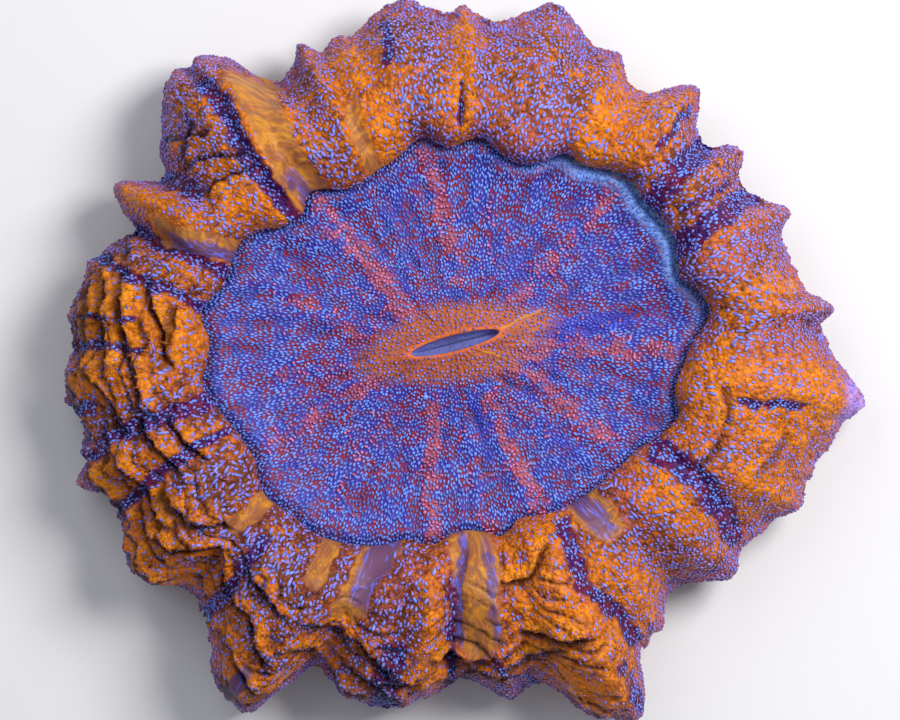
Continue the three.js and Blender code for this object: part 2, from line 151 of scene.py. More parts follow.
# Purple bands on the mantle: strength, half width, path of [radius, angle].
purpleBands = [
    (1.0, 3.0, [[54, 23], [62, 25], [70, 26], [78, 27.5]]),
    (0.8, 1.1, [[58, 30.5], [66, 30.5], [71, 30]]),
    (1.0, 3.1, [[54, 35], [62, 37.5], [70, 38], [76, 39]]),
    (0.8, 1.1, [[63, 44], [73, 45]]),
    (1.0, 0.6, [[50, 89], [57, 88.5]]),
    (0.8, 1.5, [[65, 103.5], [73, 102.5]]),
    (1.0, 2.3, [[46, 142], [53, 140], [57, 139], [62, 138], [68, 136], [74, 134.5], [82, 134]]),
    (0.6, 1.4, [[75, 140.5], [80, 140]]),
    (0.7, 2.8, [[68, 150], [80, 150.5]]),
    (1.0, 1.7, [[54, 163], [62, 162], [68, 161.5], [80, 160.5]]),
    (1.0, 1.5, [[57, 172.2], [61, 171.3], [66, 169.5], [72, 168.7], [78, 167.5], [84, 166.2]]),
    (0.8, 0.8, [[72, 176], [86, 176]]),
    (0.9, 1.0, [[70, 181], [87, 180.5]]),
    (1.0, 2.3, [[56, 193], [66, 194.5], [72, 194], [78, 195.5], [84, 197], [89, 197]]),
    (0.9, 1.4, [[55, 201.5], [62, 202], [68, 203], [76, 205], [85, 206.3]]),
    (0.7, 2.6, [[83, 190], [88, 191]]),
    (0.9, 1.7, [[60, 226], [68, 226.5], [76, 227.5], [86, 227.5]]),
    (0.8, 3.4, [[70, 259], [83, 258.5]]),
    (0.8, 1.3, [[46, 271.5], [52, 269.5], [60, 270], [66, 269.5], [77, 269]]),
    (0.8, 1.3, [[72, 277], [76, 279], [80, 283]]),
    (0.9, 2.0, [[47, 301], [56, 299], [61, 297.5], [66, 300], [72, 301], [80, 301]]),
    (0.6, 1.9, [[80, 297], [91, 297]]),
    (1.0, 3.4, [[50, 331.5], [56, 332], [62, 331], [68, 329], [72, 327.5], [78, 325.5]]),
    (0.9, 1.3, [[65, 348.5], [78, 349.5]]),
]

# Smooth skin with no beads: strength, half width, path of [radius, angle].
smoothPatches = [
    (1.0, 4.3, [[47, 135], [52, 133.5], [57, 132], [62, 131], [68, 129.5], [73, 128.5],
                [75.5, 128]]),
    (1.0, 2.8, [[50, 157], [56, 158], [61, 158.5], [66, 159], [70, 159.5]]),
    (0.7, 2.2, [[44, 114], [52, 115], [57, 114]]),
    (0.9, 2.6, [[53, 219.5], [57, 219.5], [62, 220]]),
    (1.0, 3.8, [[46, 250.5], [50, 250], [55, 249], [60, 248.5], [65, 248]]),
    (1.0, 2.6, [[51, 238], [56, 238.5], [60, 239]]),
    (1.0, 5.2, [[44, 274.5], [52, 275], [60, 275], [67, 274.5]]),
    (0.85, 4.0, [[45, 309], [50, 309.5], [53, 310]]),
    (0.9, 2.0, [[88, 237.5], [93, 237.5]]),
]

# Where that smooth skin is violet and blue instead of orange and brown.
violetPatches = [
    (0.8, 2.2, [[45, 136], [50, 135]]),
    (0.9, 2.3, [[50, 159.5], [58, 160], [66, 160.5]]),
    (1.0, 3.2, [[45, 251.5], [52, 250.5], [60, 250]]),
    (0.9, 1.3, [[44, 272], [52, 271], [60, 270.5], [68, 271]]),
    (0.7, 1.2, [[46, 278], [56, 278.5], [66, 278]]),
    (0.9, 2.6, [[44, 308.5], [52, 309]]),
    (1.0, 2.0, [[88, 237.5], [93, 237.5]]),
]

# How brightly orange the flesh is, from 0 to 1: [angle, near the disc, near the hem]. The low values
# near the disc from about 195 to 280 degrees are partly painted shade on that side.
orangeTone = [
    [2, 0.55, 0.35], [7, 0.6, 0.6], [10, 0.75, 0.95], [14, 0.3, 0.5], [18, 0.25, 0.3],
    [22, 0.7, 0.6],
    [28, 0.5, 0.4], [34, 0.55, 0.45], [42, 0.5, 0.5], [47, 0.9, 0.7], [52, 1.0, 1.0],
    [58, 0.9, 0.95],
    [62, 0.35, 0.5], [70, 0.3, 0.4], [78, 0.35, 0.45], [84, 0.45, 0.35], [86, 0.95, 0.6],
    [89, 1.0, 1.0], [92, 0.6, 0.4], [98, 0.35, 0.35], [103, 0.6, 0.5], [108, 0.95, 0.9],
    [115, 0.8, 0.7], [121, 0.45, 0.5], [126, 0.6, 0.6], [136, 0.7, 0.6], [142, 0.7, 0.5],
    [146, 1.0, 0.35], [150, 0.9, 0.3], [154, 0.5, 0.9], [158, 0.7, 0.9], [163, 0.5, 0.3],
    [168, 0.5, 0.75], [173, 0.85, 0.95], [180, 0.75, 0.75], [186, 0.65, 0.85], [191, 0.45, 0.4],
    [195, 0.2, 0.2], [199, 0.45, 0.8], [206, 0.3, 0.75], [212, 0.3, 0.75], [222, 0.25, 0.7],
    [228, 0.25, 0.45], [236, 0.25, 0.55], [243, 0.2, 0.65], [249, 0.35, 0.5], [256, 0.2, 0.3],
    [261, 0.35, 0.4], [265, 0.8, 0.9], [270, 0.2, 0.55], [278, 0.2, 0.45], [284, 0.9, 0.7],
    [290, 1.0, 0.9], [297, 0.9, 0.9], [303, 0.7, 0.8], [308, 0.45, 0.9], [314, 0.4, 0.5],
    [320, 0.6, 0.5], [325, 0.8, 0.9], [330, 0.6, 0.7], [336, 0.6, 0.9], [343, 0.8, 0.8],
    [350, 0.95, 1.0], [356, 0.9, 0.8],
]

# Pink bands on the disc, over the large septa: strength, half width, path of [radius, angle].
pinkBands = [
    (0.8, 3.0, [[16, 352], [22, 357], [30, 358], [48, 358]]),
    (0.75, 2.4, [[16, 36], [22, 38], [30, 40], [42, 43], [54, 45]]),
    (0.5, 2.0, [[18, 58], [27, 65]]),
    (0.75, 2.6, [[14, 88], [20, 92], [27, 95], [36, 97], [46, 99]]),
    (0.45, 2.0, [[18, 72], [32, 76]]),
    (0.9, 3.2, [[14, 146], [20, 139], [28, 137], [37, 136], [46, 134]]),
    (0.6, 2.7, [[20, 175], [28, 168], [34, 166], [42, 163]]),
    (0.5, 3.5, [[26, 193], [40, 190]]),
    (0.7, 2.4, [[20, 206], [28, 207], [36, 208], [46, 209]]),
    (0.45, 2.3, [[22, 228], [32, 230], [44, 234]]),
    (0.95, 2.4, [[15, 250], [22, 257], [30, 260], [38, 262.5], [46, 264]]),
    (0.5, 2.2, [[20, 276], [32, 278], [43, 280]]),
    (0.85, 2.4, [[15, 301], [24, 297], [34, 297], [43, 298]]),
    (0.45, 2.2, [[20, 315], [30, 313]]),
    (0.9, 2.7, [[15, 337], [23, 332], [32, 329], [42, 328]]),
]

# Thin yellow lines beside the mouth.
yellowLines = [
    (0.6, 0.32, [[11.5, 17], [14, 17.5], [20.5, 21]]),
    (0.5, 0.28, [[6.5, 340], [10.8, 341.6]]),
    (0.4, 0.28, [[14.6, 340], [19.4, 340]]),
]

# Darker violet stretches of the disc between them.
violetBands = [
    (0.7, 2.6, [[9, 12], [18, 8], [28, 8], [41, 9]]),
    (1.0, 0.9, [[10.4, 10], [14.8, 3]]),
    (0.35, 3.4, [[22, 47], [34, 52]]),
    (0.35, 2.2, [[38, 187], [46, 187]]),
    (0.6, 2.0, [[16, 291], [26, 287]]),
    (0.35, 2.4, [[20, 112], [40, 113]]),
    (0.5, 2.2, [[24, 318], [40, 316]]),
]


def smooth(x):
    x = np.clip(x, 0, 1)
    return x * x * (3 - 2 * x)


def bell(x, power=2):
    # 1 at 0 and falling away on both sides
    return np.exp(-(x ** power))


def mix(a, b, share):
    return a + (b - a) * share


def turnBetween(start, end):
    return np.mod(end - start + 180, 360) - 180


def polar(x, y):
    return np.mod(np.degrees(np.arctan2(y, x)), 360), np.hypot(x, y)


def ringCurve(angles, values):
    # a smooth closed curve through values at rising angles
    a = np.concatenate([angles[-2:] - 360, angles, angles[:3] + 360])
    v = np.concatenate([values[-2:], values, values[:3]])
    slope = np.zeros(len(a))
    slope[1:-1] = (v[2:] - v[:-2]) / (a[2:] - a[:-2])

    def at(angle):
        x = np.mod(angle, 360)
        i = np.searchsorted(a, x, side="right") - 1
        gap = a[i + 1] - a[i]
        s = (x - a[i]) / gap
        bend = s * (1 - s) ** 2 * slope[i] - s * s * (1 - s) * slope[i + 1]
        return mix(v[i], v[i + 1], s * s * (3 - 2 * s)) + gap * bend

    return at


def along(path, x, fade):
    # the path's second number at x, and a weight that fades out past the path's ends
    places = np.array(path, float)
    value = np.interp(x, places[:, 0], places[:, 1])
    beyond = np.maximum(np.maximum(places[0, 0] - x, x - places[-1, 0]), 0)
    return value, 1 - smooth(beyond / fade)


def bandStrength(bands, angle, radius, fade=2.5):
    # the strongest of the bands at each place, from 0 to 1
    best = np.zeros(np.shape(angle))
    for strength, width, path in bands:
        value, weight = along(path, radius, fade)
        across = np.radians(turnBetween(value, angle)) * radius / width
        best = np.maximum(best, strength * weight * bell(across, 4))
    return best


def grain(points, size, seed):
    # smooth random lumps about size apart, from -1 to 1
    away = Vector((seed * 17.3, seed * 5.1, seed * 29.7))
    return np.array([noise.noise(Vector(p) / size + away) for p in points.reshape(-1, 3)]).reshape(
        points.shape[:-1]
    )


# The outline and the crease, read off the CAD solid: its points stand in columns round the mouth.
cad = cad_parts["doughnut_coral"]
cadPoints = np.array([v.co for v in cad.data.vertices]) / mm
cut = cadPoints[cadPoints[:, 2] < 0.001]
mouthX, mouthY = ((cut.min(0) + cut.max(0)) / 2)[:2]
cadAngle, cadRadius = polar(cadPoints[:, 0] - mouthX, cadPoints[:, 1] - mouthY)


def columnCurve(chosen, pick):
    # one value for each column of the chosen points, as a closed curve
    columnGap = 0.3
    order = np.argsort(cadAngle[chosen])
    angles, radii = cadAngle[chosen][order], cadRadius[chosen][order]
    starts = np.flatnonzero(np.diff(angles) > columnGap) + 1
    if angles[0] + 360 - angles[-1] < columnGap:  # the column that straddles the +X axis
        angles[angles > 360 - columnGap] -= 360
        order = np.argsort(angles)
        angles, radii = angles[order], radii[order]
        starts = np.flatnonzero(np.diff(angles) > columnGap) + 1
    meanAngles = np.array([part.mean() for part in np.split(angles, starts)])
    return ringCurve(meanAngles, np.array([pick(part) for part in np.split(radii, starts)]))


creaseHeight = disc["edgeHeight"] + disc["crease"]
outerFlesh = cadRadius > 70
onCrease = (abs(cadPoints[:, 2] - creaseHeight) < 0.001) & (cadRadius > 30) & (cadRadius < 62)
hemRadius = columnCurve(outerFlesh, np.max)
discRadius = columnCurve(onCrease, np.mean)


def calmHemRadius(angle):
    # the hem with its tips and notches smoothed away
    return np.mean([hemRadius(angle + turn) for turn in np.linspace(-14, 14, 15)], axis=0)


def swell(angle):
    return 0.5 + 0.5 * np.cos(np.radians(angle - 235))


def roughness(angle):
    inside = np.minimum(angle - mantle["roughFrom"], mantle["roughTo"] - angle)
    return smooth(inside / 12)


def mantleCut(angle):
    # the mantle's outline in a cut: [16, 2, points] of radius and height
    inner, outer = discRadius(angle), hemRadius(angle)
    wide = outer - inner
    swollen = swell(angle)
    tip = outer - calmHemRadius(angle)
    top = mantle["crest"] - 2 * (1 - swollen) + 0.7 * np.sin(np.radians(3 * angle + 40))
    wave = np.sin(np.radians(5 * angle)) + 0.6 * np.sin(np.radians(11 * angle + 70))
    hem = mantle["hem"] - 6 * (swollen - 0.5) + wave - 0.3 * tip
    hem = np.maximum(hem, mantle["hemClearance"])
    a = np.radians(angle)
    footRadius = np.hypot(foot["length"] / 2 * np.cos(a), foot["width"] / 2 * np.sin(a))
    edge = disc["edgeHeight"]
    flat = np.zeros(np.shape(angle))
    return np.array([
        [inner, flat + creaseHeight],
        [inner - 0.9, flat + edge + 2.2],
        [inner + 0.05 * wide, flat + edge + 7],
        [inner + 0.2 * wide, top - 0.9],
        [inner + 0.4 * wide, top - 0.5],
        [inner + 0.6 * wide, top - 4],
        [inner + 0.8 * wide, top - 10.5],
        [inner + 0.93 * wide, top - 17.5],
        [outer - 0.2, hem + 6],
        [outer - 0.5, hem + 2.4],
        [outer - 2.4, hem],
        [outer - 6.5, hem + 0.6],
        [mix(footRadius, outer, 0.45), hem + 3.5],
        [footRadius + 3.5, hem + 5],
        [footRadius + 0.3, flat + 7],
        [footRadius + 1.2, flat],
    ])


def cutPoint(cut, place):
    last = len(cut) - 1
    i = np.minimum(np.floor(place).astype(int), last - 1)
    s = place - i
    columns = np.arange(cut.shape[2])
    p0, p1, p2, p3 = (cut[np.clip(i + k, 0, last), :, columns].T for k in (-1, 0, 1, 2))
    bend = (2 * p0 - 5 * p1 + 4 * p2 - p3) * s * s + (3 * p1 - p0 - 3 * p2 + p3) * s ** 3
    return p1 + 0.5 * ((p2 - p0) * s + bend)


def ledgeShape(beyond, lipLength, gapLength):
    # a slow rise to a lip, a sharp drop at 0, and a slow climb out of the gap
    drop = smooth((beyond + 0.15) / 0.6)
    lip = 0.5 * np.exp(np.minimum(beyond, 0) / lipLength)
    gap = -1.15 * np.exp(-np.maximum(beyond - 0.5, 0) / gapLength)
    return mix(lip, gap, drop)


def pointAt(angle, radius, height):
    cos, sin = np.cos(np.radians(angle)), np.sin(np.radians(angle))
    return np.stack([radius * cos, radius * sin, height + 0 * radius], -1)


def plan(angle, radius, place):
    # a point for the noises, the same before and after the flesh is lifted
    return pointAt(angle, radius, 3.0 * place)


def drifted(angle, radius, where):
    # angle and radius with a small wander, so that no band or fold runs straight
    across = 0.9 * grain(where, 6.5, 21) + 0.8 * grain(where, 2.3, 22)
    beyond = 1.4 * grain(where, 6.5, 23)
    return angle + np.degrees(across / np.maximum(radius, 8)), radius + beyond


def ledgeRun(angle, radius, where):
    # rise, outward push, lip and gap of the ledges and of the small terraces between them; the lip
    # is also a mask of painted light and the gap one of painted shade
    drops, push, lip, gap = (np.zeros(np.shape(angle)) for _ in range(4))
    scallop = 0.7 * grain(where, 2.4, 2) + 0.5 * grain(where, 7, 1)
    for drop, path in ledges:
        value, weight = along(path, angle, 2.5)
        beyond = radius - value + scallop
        near = weight * (abs(beyond) < 9)
        drops += 1.5 * drop * near * ledgeShape(beyond, 1.6, 1.6)
        push += 0.6 * drop * near * bell((beyond + 0.4) / 0.9)
        lip = np.maximum(lip, near * bell((beyond + 1.1) / 1.1))
        gap = np.maximum(gap, near * np.minimum(drop, 1) * bell((beyond - 1.2) / 1.2))
    wander = 0.5 * grain(where, 8, 1) + 0.25 * scallop
    step = np.mod((hemRadius(angle) - radius) / mantle["terrace"] + wander, 1)
    terrace = 0.55 * np.exp(-step / 0.4) - np.exp(-(1 - step) / 0.15)
    rough = roughness(angle)
    onSlope = smooth((radius - discRadius(angle) - 8) / 6)
    strength = (0.1 + 0.9 * rough) * onSlope * smooth(0.8 + 1.6 * grain(where, 9, 12))
    drops += mantle["terraceHeight"] * strength * terrace
    gap = np.maximum(gap, 0.95 * strength * bell((0.98 - step) / 0.18))
    return drops, push, lip, gap


def mantleLift(angle, radius, place, where):
    # how far the flesh stands out from its smooth form, and how far its ledges rise and push out
    turned, beyond = drifted(angle, radius, where)
    drops, push, _, _ = ledgeRun(angle, radius, where)
    lift = np.zeros(np.shape(angle))
    for height, width, path in folds:
        value, weight = along(path, beyond, 4)
        across = np.radians(turnBetween(value, turned)) * radius / width
        lift += height * weight * bell(across)
    rough = roughness(angle)
    calm = 1 - smooth(bandStrength(smoothPatches, turned, beyond) * 1.6)
    lumps = grain(where, 4.6, 3) + 0.6 * grain(where, 2.1, 4)
    lift += (0.4 + 0.6 * rough) * lumps * (0.3 + 0.7 * calm)
    lift += (0.34 + 0.25 * rough) * calm * grain(where, 1.3, 9)
    crumbled = smooth((place - 5.5) / 2)
    lift += crumbled * (0.85 * grain(where, 1.8, 10) + 0.8 * grain(where, 4.2, 24))
    tips = mantle["tipRaise"] * smooth(place / 8) * (hemRadius(angle) - calmHemRadius(angle))
    on = smooth((place - 1) / 1.8) * smooth((10.4 - place) / 1.6)
    return on * (lift + tips), on * drops, on * push


def mantlePoints(angle, place):
    # points of the mantle, with their plan radius on the smooth form and their lift
    cut = mantleCut(angle)
    radius, height = cutPoint(cut, place)
    before = cutPoint(cut, np.maximum(place - 0.05, 0))
    after = cutPoint(cut, np.minimum(place + 0.05, 15))
    dr, dz = after[0] - before[0], after[1] - before[1]
    length = np.hypot(dr, dz)
    raised, drops, push = mantleLift(angle, radius, place, plan(angle, radius, place))
    r = radius - raised * dz / length + push
    z = height + raised * dr / length + drops
    ribbed = smooth((place - 12.6) / 0.8) * smooth((15.4 - place) / 0.5)
    r = r + foot["ribDepth"] * ribbed * np.cos(np.radians(angle) * foot["ribs"])
    return pointAt(angle, r, z), radius, raised + drops


def mouthRadius(angle):
    a = np.radians(angle - disc["mouthTurn"])
    long, short = disc["mouthLength"] / 2, disc["mouthWidth"] / 2
    return long * short / np.hypot(short * np.cos(a), long * np.sin(a))


def streaks(angle, radius, count, length, seed):
    # noise drawn out along the radii, with about count lumps around
    around = count / (2 * math.pi)
    a = np.radians(angle)
    where = np.stack([around * np.cos(a), around * np.sin(a), radius / length + 0 * a], -1)
    return grain(where, 1, seed)


def discPoints(angle, share):
    # points of the disc, from the lip of the mouth (share 0) to the crease (share 1)
    radius = mix(mouthRadius(angle), discRadius(angle), share)
    bowl = -disc["bowl"] * (1 - share ** 4)
    lip = disc["lipHeight"] * bell(share / 0.22, 1.5)
    rim = disc["rimHeight"] * bell((share - 0.92) / 0.06)
    crease = disc["crease"] * smooth((share - 0.92) / 0.08)
    fade = smooth(share / 0.25) * smooth((1 - share) / 0.1)
    where = plan(angle, radius, 0)
    turned, beyond = drifted(angle, radius, where)
    pink = bandStrength(pinkBands, turned, beyond, 5)
    lift = 0.5 * pink + 0.3 * grain(where, 3.4, 5) + 0.5 * streaks(angle, radius, 84, 9, 13)
    lift = lift + 0.35 * streaks(angle, radius, 150, 8, 18)
    puckers = np.cos(np.radians(angle * 22) + 3 * grain(where, 6, 6))
    lift = fade * lift + 0.14 * smooth(1 - share / 0.25) * smooth(share / 0.03) * puckers
    z = disc["edgeHeight"] + bowl + lip + rim + crease + lift
    return pointAt(angle, radius, z), radius, lift


def pocketPoints(angle, long, short, depth):
    # points on an ellipse inside the edge of the mouth
    a, turn = np.radians(angle - disc["mouthTurn"]), math.radians(disc["mouthTurn"])
    p, q = mouthRadius(angle) * np.cos(a) * long, mouthRadius(angle) * np.sin(a) * short
    lipTop = disc["edgeHeight"] - disc["bowl"] + disc["lipHeight"]
    x = p * math.cos(turn) - q * math.sin(turn)
    y = p * math.sin(turn) + q * math.cos(turn)
    return np.stack([x, y, np.full(np.shape(angle), lipTop - depth)], -1)


skin = {
    "columns": 720,          # round the mantle; half as many elsewhere
    "discRows": 50,
    "upRows": 16,            # the inner wall of the mantle
    "slopeRows": 70,         # the top of the mantle, where the camera looks
    "wallRows": 20,
    "underRows": 13,
}

# Rings inside the mouth: share of its length, share of its width, share of its depth.
mouthRings = [(0.8, 0.05, 1.2), (0.85, 0.2, 1.0), (0.93, 0.72, 0.85), (0.98, 0.93, 0.5)]


def ringOf(kind, angle, share, made):
    points, radius, lift = made
    return {"kind": kind, "angle": angle, "share": share, "points": points, "radius": radius,
            "lift": lift}


def skinRings():
    # rings of points from the floor of the mouth out to the cut, each with its place on the coral
    full = np.arange(skin["columns"]) * 360 / skin["columns"]
    half = full[::2]
    rings = []
    for long, short, depth in mouthRings:
        points = pocketPoints(half, long, short, depth * disc["mouthDepth"])
        radius = polar(points[:, 0], points[:, 1])[1]
        rings.append(ringOf("mouth", half, short, (points, radius, 0 * half)))
    for share in np.linspace(0, 1, skin["discRows"] + 1)[:-1] ** 1.1:
        rings.append(ringOf("disc", half, share, discPoints(half, share)))
    places = np.concatenate([
        np.linspace(0, 2.4, skin["upRows"])[:-1],
        np.linspace(2.4, 7.2, skin["slopeRows"])[:-1],
        np.linspace(7.2, 10, skin["wallRows"])[:-1],
    ])
    for place in places:
        made = mantlePoints(full, np.full(len(full), place))
        rings.append(ringOf("mantle", full, place, made))
    for place in np.linspace(10, 15, skin["underRows"]):
        made = mantlePoints(half, np.full(len(half), place))
        rings.append(ringOf("under", half, place, made))
    return rings


def bandFaces(inner, outer):
    # quads between two rings of indices; where one has half the points, triangles
    if len(inner) == len(outer):
        return np.stack([inner, outer, np.roll(outer, -1), np.roll(inner, -1)], 1).tolist()
    if len(inner) < len(outer):
        a, d = inner, np.roll(inner, -1)
        b, c, e = outer[::2], outer[1::2], np.roll(outer[::2], -1)
        triangles = (a, b, c), (a, c, d), (d, c, e)
    else:
        a, c, d = inner[::2], inner[1::2], np.roll(inner[::2], -1)
        b, e = outer, np.roll(outer, -1)
        triangles = (a, b, c), (c, b, e), (c, e, d)
    return np.concatenate([np.stack(corners, 1) for corners in triangles]).tolist()


# On the disc, tone is the yellow lines, purple its violet stretches and rim its smooth blue rim.
# On the mantle, rim is painted shade at the foot of its inner wall; gap is painted shade on both,
# and lip painted light on the lips of the ledges.
maskNames = ["disc", "mouth", "warm", "rim", "pink", "purple", "tone", "smoothSkin", "violetSkin",
             "lavender", "stone", "lip", "gap", "edge"]
lavenderAngle = 351.5


def discMasks(masks, kind, angle, radius, share, where, turned, beyond):
    speckle = grain(where, 1.4, 7)
    masks["disc"][:] = 1
    masks["mouth"][:] = kind == "mouth"
    patchy = 0.45 * speckle + 0.75 * grain(where, 3.2, 19)
    masks["pink"] = smooth(bandStrength(pinkBands, turned, beyond, 5) * (1 + patchy) - 0.12)
    violet = bandStrength(violetBands, turned, beyond, 4)
    masks["purple"] = smooth(violet + 0.4 * streaks(angle, radius, 60, 12, 14))
    away = np.maximum(radius - mouthRadius(angle), 0)
    away = away * (1 - 0.45 * np.cos(np.radians(angle - 185)) ** 2)
    masks["warm"] = bell(away / 6.5, 1.6)
    masks["rim"] = smooth((share - 0.88) / 0.06) * rimStrength(angle)
    # painted shade in the crease at the disc's edge, and at the bottom of the mouth
    masks["gap"] = smooth((share - 0.985) / 0.015)
    if kind == "mouth":
        masks["gap"] = 0.6 * (share < 0.1)
    masks["tone"] = bandStrength(yellowLines, turned, beyond, 1.5)


def mantleMasks(masks, angle, radius, share, where, turned, beyond):
    speckle = grain(where, 1.4, 7)
    inner, outer = discRadius(angle), hemRadius(angle)
    t = np.clip((beyond - inner) / (outer - inner), 0, 1)
    table = np.array(orangeTone)
    innerTone = ringCurve(table[:, 0], table[:, 1])(turned)
    outerTone = ringCurve(table[:, 0], table[:, 2])(turned)
    tone = mix(innerTone, outerTone, smooth((t - 0.25) / 0.5))
    masks["tone"] = np.clip(tone + 0.3 * grain(where, 5, 15) + 0.2 * speckle, 0, 1)
    purple = bandStrength(purpleBands, turned, beyond)
    ragged = 0.25 * speckle + 0.35 * grain(where, 3.4, 16)
    masks["purple"] = smooth((purple - 0.3 + ragged) / 0.35)
    ragged = 0.3 * grain(where, 2.6, 17) + 0.2 * speckle
    bald = bandStrength(smoothPatches, turned, beyond, 6)
    masks["smoothSkin"] = np.clip(bald + ragged * smooth(bald * 3), 0, 1)
    violet = bandStrength(violetPatches, turned, beyond, 6)
    masks["violetSkin"] = np.clip(violet + ragged, 0, 1)
    # painted shade at the foot of the inner wall, by the crease
    masks["rim"] = 1 - smooth(share / 0.6)
    fromTip = abs(np.radians(turnBetween(lavenderAngle, angle))) * radius
    masks["lavender"] = smooth((radius - 86.5) / 2.5) * (1 - smooth((fromTip - 3.5) / 3))
    masks["stone"] = smooth((share - 12.4) / 0.8)
    # masks of painted light on the lips of the ledges and of painted shade in the gaps below them
    _, _, lip, gap = ledgeRun(angle, radius, where)
    onTop = smooth((share - 1.5) / 1.5) * smooth((9 - share) / 1.5)
    masks["lip"], masks["gap"] = lip * onTop, gap * onTop
    masks["edge"] = smooth((t - 0.86) / 0.12)


def placeMasks(kind, angle, radius, share):
    # what each place on the coral looks like, as numbers from 0 to 1
    masks = {name: np.zeros(len(angle)) for name in maskNames}
    share = np.broadcast_to(share, len(angle))
    where = plan(angle, radius, share if kind in ("mantle", "under") else 0)
    turned, beyond = drifted(angle, radius, where)
    if kind in ("disc", "mouth"):
        discMasks(masks, kind, angle, radius, share, where, turned, beyond)
    else:
        mantleMasks(masks, angle, radius, share, where, turned, beyond)
    return masks


def rimStrength(angle):
    # the smooth blue rim of the disc is plain at the upper right and faint elsewhere
    return 0.04 + 0.96 * bell(turnBetween(36, angle) / 26, 4)


def addObject(name, data):
    obj = bpy.data.objects.new(name, data)
    bpy.context.scene.collection.objects.link(obj)
    return obj


def addFloats(mesh, values):
    for name, numbers in values.items():
        layer = mesh.attributes.new(name, "FLOAT", "POINT")
        layer.data.foreach_set("value", np.asarray(numbers, np.float32))


def makeSkin(rings):
    points = np.concatenate([ring["points"] for ring in rings])
    starts = np.cumsum([0] + [len(ring["angle"]) for ring in rings])
    indices = [np.arange(len(ring["angle"])) + start for ring, start in zip(rings, starts)]
    faces = []
    for inner, outer in zip(indices[:-1], indices[1:]):
        faces += bandFaces(inner, outer)
    middles = np.array([rings[0]["points"].mean(0), [0.0, 0.0, 0.0]])
    floorAt, cutAt = len(points), len(points) + 1
    first, last = indices[0], indices[-1]
    faces += [[floorAt, a, b] for a, b in zip(first, np.roll(first, -1))]
    faces += [[cutAt, b, a] for a, b in zip(last, np.roll(last, -1))]
    allPoints = np.concatenate([points, middles]) + [mouthX, mouthY, 0]
    mesh = bpy.data.meshes.new("coral_skin")
    mesh.from_pydata((allPoints * mm).tolist(), [], faces)
    mesh.update()
    masks = {name: [] for name in maskNames}
    for ring in rings:
        found = placeMasks(ring["kind"], ring["angle"], ring["radius"], ring["share"])
        for name in maskNames:
            masks[name].append(found[name])
    # the last two values of each are those of the middles of the mouth's floor and of the cut; gap
    # gives the floor painted shade
    ends = {"mouth": [1, 0], "disc": [1, 0], "gap": [0.6, 0], "stone": [0, 1]}
    values = {name: np.concatenate(parts + [ends.get(name, [0, 0])])
              for name, parts in masks.items()}
    values["lift"] = np.concatenate([ring["lift"] for ring in rings] + [[0, 0]])
    addFloats(mesh, values)
    addPolarMap(mesh, rings, starts)
    mesh.polygons.foreach_set("use_smooth", [True] * len(mesh.polygons))
    return addObject("coral_skin", mesh)


def addPolarMap(mesh, rings, starts):
    # a map with the angle across and the way from mouth to foot upwards
    total = len(mesh.vertices)
    around = np.zeros(total)
    out = np.zeros(total)
    for i, (ring, start) in enumerate(zip(rings, starts)):
        around[start:start + len(ring["angle"])] = ring["angle"] / 360
        out[start:start + len(ring["angle"])] = i / len(rings)
    out[-1] = 1
    corners = np.zeros(len(mesh.loops), np.int32)
    mesh.loops.foreach_get("vertex_index", corners)
    u = around[corners]
    sizes = np.array([len(p.vertices) for p in mesh.polygons])
    face = np.repeat(np.arange(len(sizes)), sizes)
    highest = np.zeros(len(sizes))
    np.maximum.at(highest, face, u)
    u = np.where((highest[face] > 0.9) & (u < 0.1), u + 1, u)
    layer = mesh.uv_layers.new(name="polar")
    layer.data.foreach_set("uv", np.stack([u, out[corners]], 1).astype(np.float32).ravel())


rings = skinRings()
coralSkin = makeSkin(rings)
print("skin made:", len(coralSkin.data.polygons), "faces")


# Beads

beads = {
    "discSpacing": 0.52,
    "mantleSpacing": 0.74,
    "tries": 5,
    "seed": 11,
}


def gridOf(kind, least, most):
    # the rings of that kind as one grid, with the surface directions at each point
    chosen = [r for r in rings if r["kind"] == kind and least <= r["share"] <= most]
    points, radii, lifts = (np.array([r[k] for r in chosen]) for k in ("points", "radius", "lift"))
    outward = np.gradient(points, axis=0)
    around = (np.roll(points, -1, 1) - np.roll(points, 1, 1)) / 2
    normal = np.cross(outward, around)
    normal /= np.linalg.norm(normal, axis=2, keepdims=True)
    shares = np.array([np.full(len(r["angle"]), r["share"]) for r in chosen])
    return {"point": points, "outward": outward, "normal": normal, "share": shares,
            "radius": radii, "lift": lifts}, chosen[0]["angle"]


